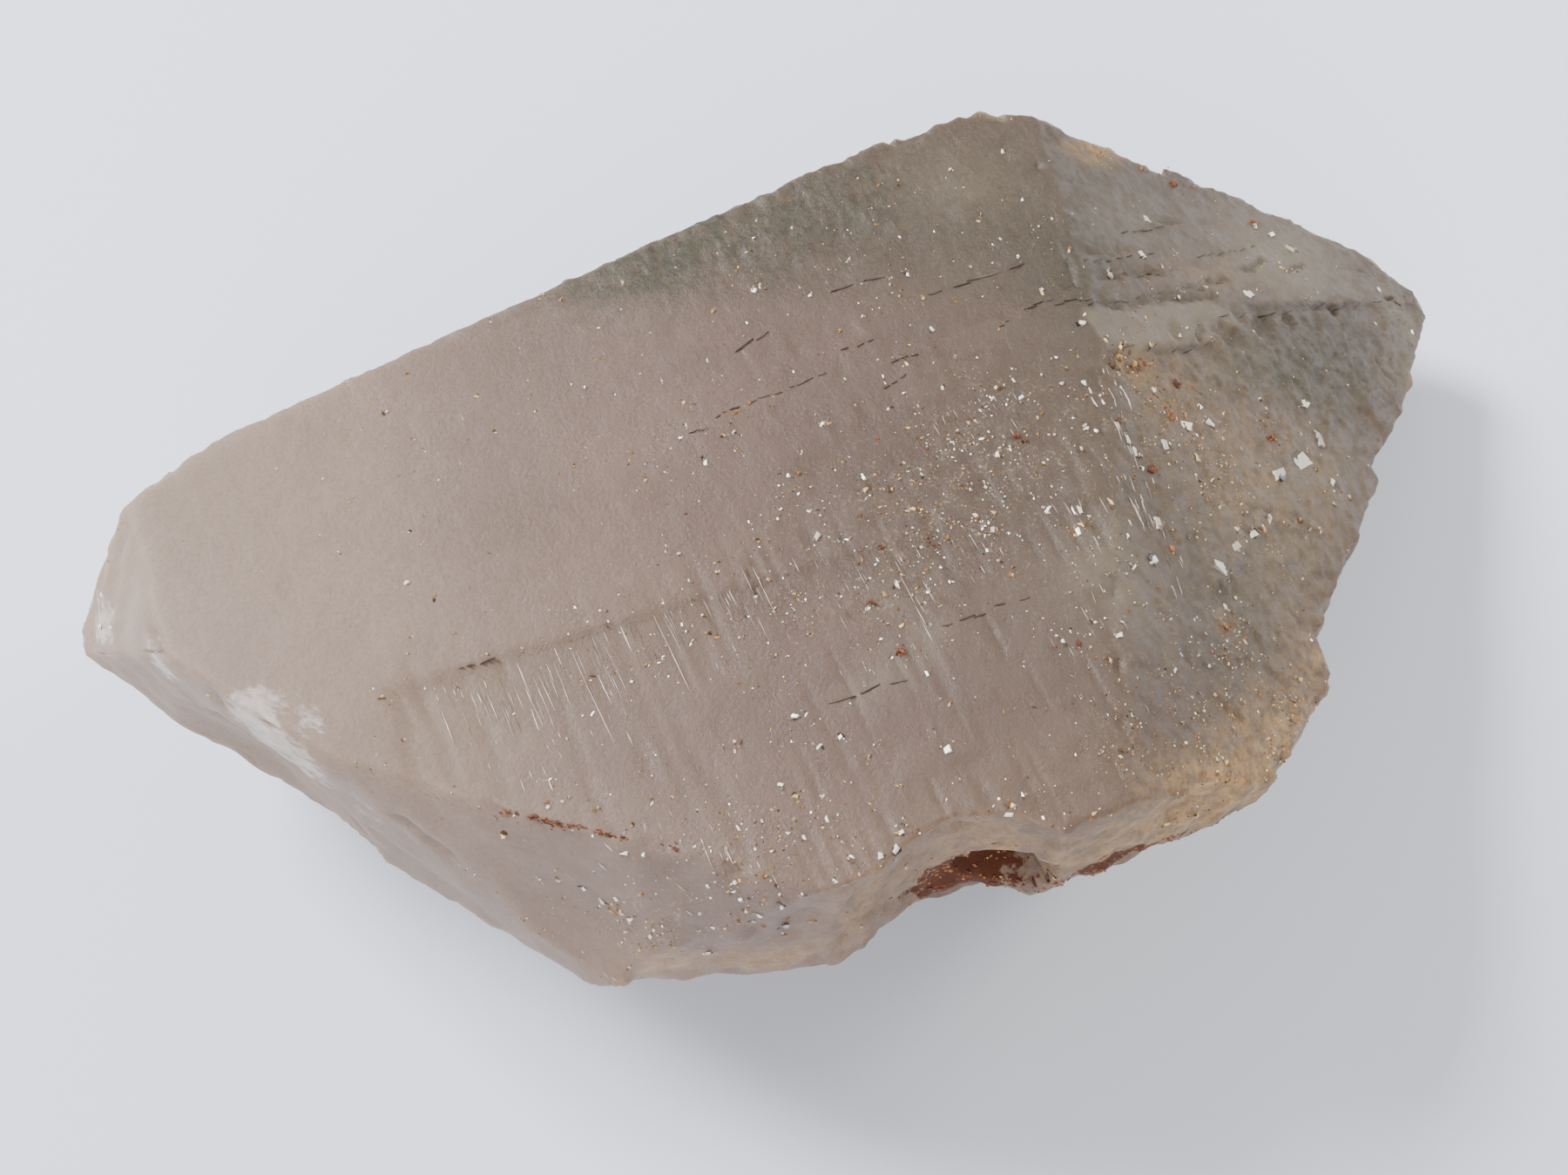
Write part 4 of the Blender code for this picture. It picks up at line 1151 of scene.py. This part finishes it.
class QUARTZ_OT_rust(bpy.types.Operator):
    """Add the rust grains: a line on the front slope, crust in the hollow and lone dots"""

    bl_idname = "quartz.rust"
    bl_label = "Rust grains"

    LINE = (  # the crust's line, stretch by stretch: start, end, grains
        (-20.9, -16.3, -19.7, -17.2, 7), (-19.6, -17.3, -18.6, -18, 34),
        (-18.6, -18.1, -17.2, -19, 34), (-16.7, -19.4, -15.3, -20.4, 30),
        (-13.8, -21.2, -13.1, -21.8, 8),
    )
    LARGE = (  # place in plan, length, width
        (20.1, -9.8, 1, 0.5), (25.1, -4.1, 0.8, 0.5), (30.5, -7.3, 0.9, 0.45),
        (23.5, -6.1, 0.9, 0.4), (20.8, -3, 0.9, 0.5), (22.8, -2.9, 0.8, 0.4),
        (19.3, -6.6, 0.5, 0.3), (20.3, -19.2, 0.6, 0.5), (38.9, 9.2, 0.5, 0.4),
        (33.4, 11.6, 0.8, 0.5), (1.7, -15.9, 0.9, 0.35), (3.4, -9.7, 0.6, 0.3),
        (1.5, -12.6, 0.4, 0.3), (13.5, -6.1, 0.6, 0.4), (6, -10.4, 0.4, 0.3),
    )
    SPOTS = (  # where lone dots gather: x, y, half width, share
        (23, -3.2, 1.6, 1), (24.7, -4.8, 1.2, 0.5), (20.2, -9.8, 0.9, 0.7), (30.7, -7.2, 1, 0.5),
        (23.4, -6, 0.9, 0.5), (20.5, -19.3, 0.9, 0.4), (33.8, 11.6, 0.8, 0.6), (39, 9.1, 0.6, 0.4),
        (-22.5, 4.4, 0.3, 0.9), (4.6, -10.6, 4.5, 0.05), (14, -20, 5, 0.05),
    )

    def execute(self, context):
        chance = np.random.default_rng(SEED + 4)
        points, normals, area, mesh = skin_arrays()
        x, y = points[:, 0], points[:, 1]
        steep = ramp(-0.6, -0.2, normals[:, 2])
        density = 4.0 * get_field(mesh, "rust") ** 2 + 0.012 * get_field(mesh, "grit")
        for spot_x, spot_y, width, share in self.SPOTS:
            density += share * np.exp(-((x - spot_x) ** 2 + (y - spot_y) ** 2) / width**2)
        count = context.scene.quartz_shape.grains
        _at, loose, loose_up = strew(
            chance, points, normals, area * density * steep, count, 1, spread=0.12)
        sizes = drawn_out(chance, 0.08 + chance.gamma(2.0, 0.045, count), 0.9, 2.0)
        heading = chance.uniform(0.0, np.pi, count)

        rows = np.array(self.LINE)
        rows = np.repeat(rows, rows[:, 4].astype(int), axis=0)
        run = rows[:, 2:4] - rows[:, :2]
        many = len(run)
        places = rows[:, :2] + run * chance.uniform(0.0, 1.0, (many, 1))
        places += chance.normal(0.0, 0.07, places.shape)
        line, line_up = settle_on(points, normals, places)
        long = np.stack([chance.uniform(0.2, 0.55, many), chance.uniform(0.08, 0.2, many)], 1)
        crystals, crystals_up, crystal_sizes = crumble(
            chance, points, normals, np.array(self.LARGE), CRYSTAL_PLATES, spread=0.16,
            shares=(0.3, 0.85), lift=0.08)
        sizes = np.concatenate([sizes, long, crystal_sizes])
        heading = np.concatenate([
            heading, np.arctan2(run[:, 1], run[:, 0]), chance.uniform(0.0, np.pi, len(crystals))])
        centres = np.concatenate([loose, line, crystals])
        up = np.concatenate([loose_up, line_up, crystals_up])
        tone = np.concatenate([
            chance.uniform(0.0, 1.0, count), 0.7 * chance.uniform(0.0, 1.0, many) ** 2.5,
            chance.uniform(0.0, 0.7, len(crystals))])
        total = len(sizes)
        plates = plates_on(
            centres, up, heading + chance.normal(0.0, 0.3, total),
            tilt=chance.uniform(0.0, 0.3, total),
            tilt_heading=chance.uniform(0.0, 2.0 * np.pi, total), sizes=sizes,
            heights=0.5 * sizes[:, 1], chance=chance, taper=0.6, outline=KITE)
        add_marks("rust_grains", plates, tone, "iron_rust_grain")
        return {"FINISHED"}


class QUARTZ_OT_slits(bpy.types.Operator):
    """Add the thin dark slits of open cracks that run along the crystal, painted with their shadow
    """

    bl_idname = "quartz.slits"
    bl_label = "Crack slits"

    ROWS = (  # start, end, number of dashes along it
        (-20.6, -8, -18.4, -8.1, 3), (-4, 1.4, -2.6, 1.2, 2), (-2.1, 1.8, -0.3, 2, 5),
        (0.3, 2, 5.1, 2.3, 7), (0.9, 5.7, 3.3, 6.3, 2), (6.7, 3.3, 8.6, 3.4, 3),
        (9, 1.4, 10.7, 1.5, 3), (7.6, 0, 9.3, 0.3, 3), (15.7, 1.6, 16.5, 1.6, 2),
        (17.6, 2, 19.4, 2, 3), (19.3, 1.7, 21.9, 1.3, 4), (7.8, 7.7, 11.2, 7.6, 2),
        (12, 5.4, 20, 5.2, 4), (22.4, 4.2, 29, 5.6, 7), (24.4, 3.6, 28.6, 4.1, 5),
        (21, 1, 24.8, 1.6, 5), (25.2, 1.8, 33.4, 4.2, 9), (26.4, 6.8, 31, 7.8, 4),
        (31.8, 5.6, 38, 7.2, 6), (30.6, 1, 47.4, 3.6, 9), (20.6, -2.1, 30.2, -1, 6),
        (4, -15.3, 9.6, -15.5, 5), (-3, -17.2, 2, -17.6, 3), (48.4, 4, 48.8, 3.4, 2),
        (48.5, 3.9, 48.9, 3.3, 2),
    )

    def execute(self, context):
        chance = np.random.default_rng(SEED + 5)
        points, normals, _area, _mesh = skin_arrays()
        places, headings, lengths = [], [], []
        for x, y, end_x, end_y, count in self.ROWS:
            run = np.array([end_x - x, end_y - y])
            part = (np.arange(count) + chance.uniform(0.3, 0.7, count)) / count
            off_line = chance.normal(0.0, 0.07, (count, 2))
            places.append(np.array([x, y]) + run * part[:, None] + off_line)
            headings.append(np.arctan2(run[1], run[0]) + chance.normal(0.0, 0.08, count))
            lengths.append(np.hypot(*run) / count * chance.uniform(0.7, 1.4, count))
        centres, up = settle_on(points, normals, np.concatenate(places))
        total = len(centres)
        sizes = np.stack([np.concatenate(lengths), chance.uniform(0.07, 0.15, total)], axis=1)
        plates = plates_on(
            centres, up, np.concatenate(headings), tilt=np.zeros(total),
            tilt_heading=np.zeros(total), sizes=sizes, heights=np.full(total, 0.16),
            chance=chance, taper=0.8, outline=LOZENGE)
        add_marks("crack_slits", plates, chance.uniform(0.0, 1.0, total), "quartz_crack_shadow")
        return {"FINISHED"}


class QUARTZ_OT_stage(bpy.types.Operator):
    """Set the pale floor, the soft studio lights and the camera"""

    bl_idname = "quartz.stage"
    bl_label = "Studio stage"

    FLOOR_REACH = 1.5
    FLOOR_LEVEL = -0.00002  # just below the underside
    LIGHTS = (  # name, place, size, power in watts, colour
        ("key_softbox", (-0.50, 0.60, 0.65), 0.40, 22.3, (0.97, 0.985, 1.0)),
        ("front_fill", (-0.45, -0.70, 0.45), 0.80, 7.6, (1.0, 0.965, 0.92)),
        ("right_rim", (0.75, 0.10, 0.40), 0.30, 4.5, (1.0, 0.93, 0.83)),
    )
    CAMERA_PLACE = (-0.0279933, -0.0571576, 0.1183297)
    CAMERA_TURN = (29.9493, 0.2764, -22.3118)  # degrees about X, Y and Z
    LENS = 45.935

    def execute(self, context):
        scene = context.scene
        corners = [(-1, -1), (1, -1), (1, 1), (-1, 1)]
        reach = self.FLOOR_REACH
        mesh = bpy.data.meshes.new("studio_floor")
        mesh.from_pydata(
            [(x * reach, y * reach, self.FLOOR_LEVEL) for x, y in corners], [], [(0, 1, 2, 3)])
        floor = bpy.data.objects.new("studio_floor", mesh)
        scene.collection.objects.link(floor)
        # Matt paper: pressed fibres, so its colour is even and it has hardly any gloss.
        material, tree, shader = new_material("studio_floor_matt_paper")
        fill_in(tree, shader, {
            "Base Color": scene.quartz_colours.floor, "Roughness": 0.9,
            "Specular IOR Level": 0.2})
        mesh.materials.append(material)

        world = bpy.data.worlds.new("studio_world")
        world.use_nodes = True
        fill_in(world.node_tree, world.node_tree.nodes["Background"], {
            "Color": (0.88, 0.89, 0.91, 1.0), "Strength": 0.55})
        scene.world = world

        for name, place, size, power, colour in self.LIGHTS:
            light = bpy.data.lights.new(name, "AREA")
            light.shape = "SQUARE"
            light.size = size
            light.energy = power
            light.color = colour
            lamp = bpy.data.objects.new(name, light)
            lamp.location = place
            lamp.rotation_euler = (-lamp.location).to_track_quat("-Z", "Y").to_euler()
            scene.collection.objects.link(lamp)

        data = bpy.data.cameras.new("studio_camera")
        data.sensor_width = 36.0
        data.lens = self.LENS
        data.clip_start = 0.005
        camera = bpy.data.objects.new("studio_camera", data)
        camera.location = self.CAMERA_PLACE
        camera.rotation_euler = tuple(math.radians(angle) for angle in self.CAMERA_TURN)
        scene.collection.objects.link(camera)
        scene.camera = camera
        return {"FINISHED"}


STEPS = (
    QUARTZ_OT_skin, QUARTZ_OT_strokes, QUARTZ_OT_glints, QUARTZ_OT_flecks, QUARTZ_OT_rust,
    QUARTZ_OT_slits, QUARTZ_OT_stage)


class QUARTZ_PT_panel(bpy.types.Panel):
    """Lists the steps that build the crystal and its settings"""

    bl_idname = "QUARTZ_PT_panel"
    bl_label = "Smoky quartz"
    bl_space_type = "VIEW_3D"
    bl_region_type = "UI"
    bl_category = "Quartz"

    def draw(self, context):
        for group in (context.scene.quartz_shape, context.scene.quartz_colours):
            for name in group.bl_rna.properties.keys():
                if name not in ("rna_type", "name"):
                    self.layout.prop(group, name)
        for step in STEPS:
            self.layout.operator(step.bl_idname)


CLASSES = (QUARTZ_PG_shape, QUARTZ_PG_colours, *STEPS, QUARTZ_PT_panel)


def register():
    """Registers the classes and hangs the settings on the scene."""
    for cls in CLASSES:
        bpy.utils.register_class(cls)
    bpy.types.Scene.quartz_shape = PointerProperty(type=QUARTZ_PG_shape)
    bpy.types.Scene.quartz_colours = PointerProperty(type=QUARTZ_PG_colours)


def unregister():
    """Takes the settings and the classes away again."""
    del bpy.types.Scene.quartz_colours
    del bpy.types.Scene.quartz_shape
    for cls in reversed(CLASSES):
        bpy.utils.unregister_class(cls)


def main():
    """Builds every piece in order."""
    register()
    bpy.ops.quartz.skin()
    bpy.ops.quartz.strokes()
    bpy.ops.quartz.glints()
    bpy.ops.quartz.flecks()
    bpy.ops.quartz.rust()
    bpy.ops.quartz.slits()
    bpy.ops.quartz.stage()


if __name__ == "__main__":
    main()
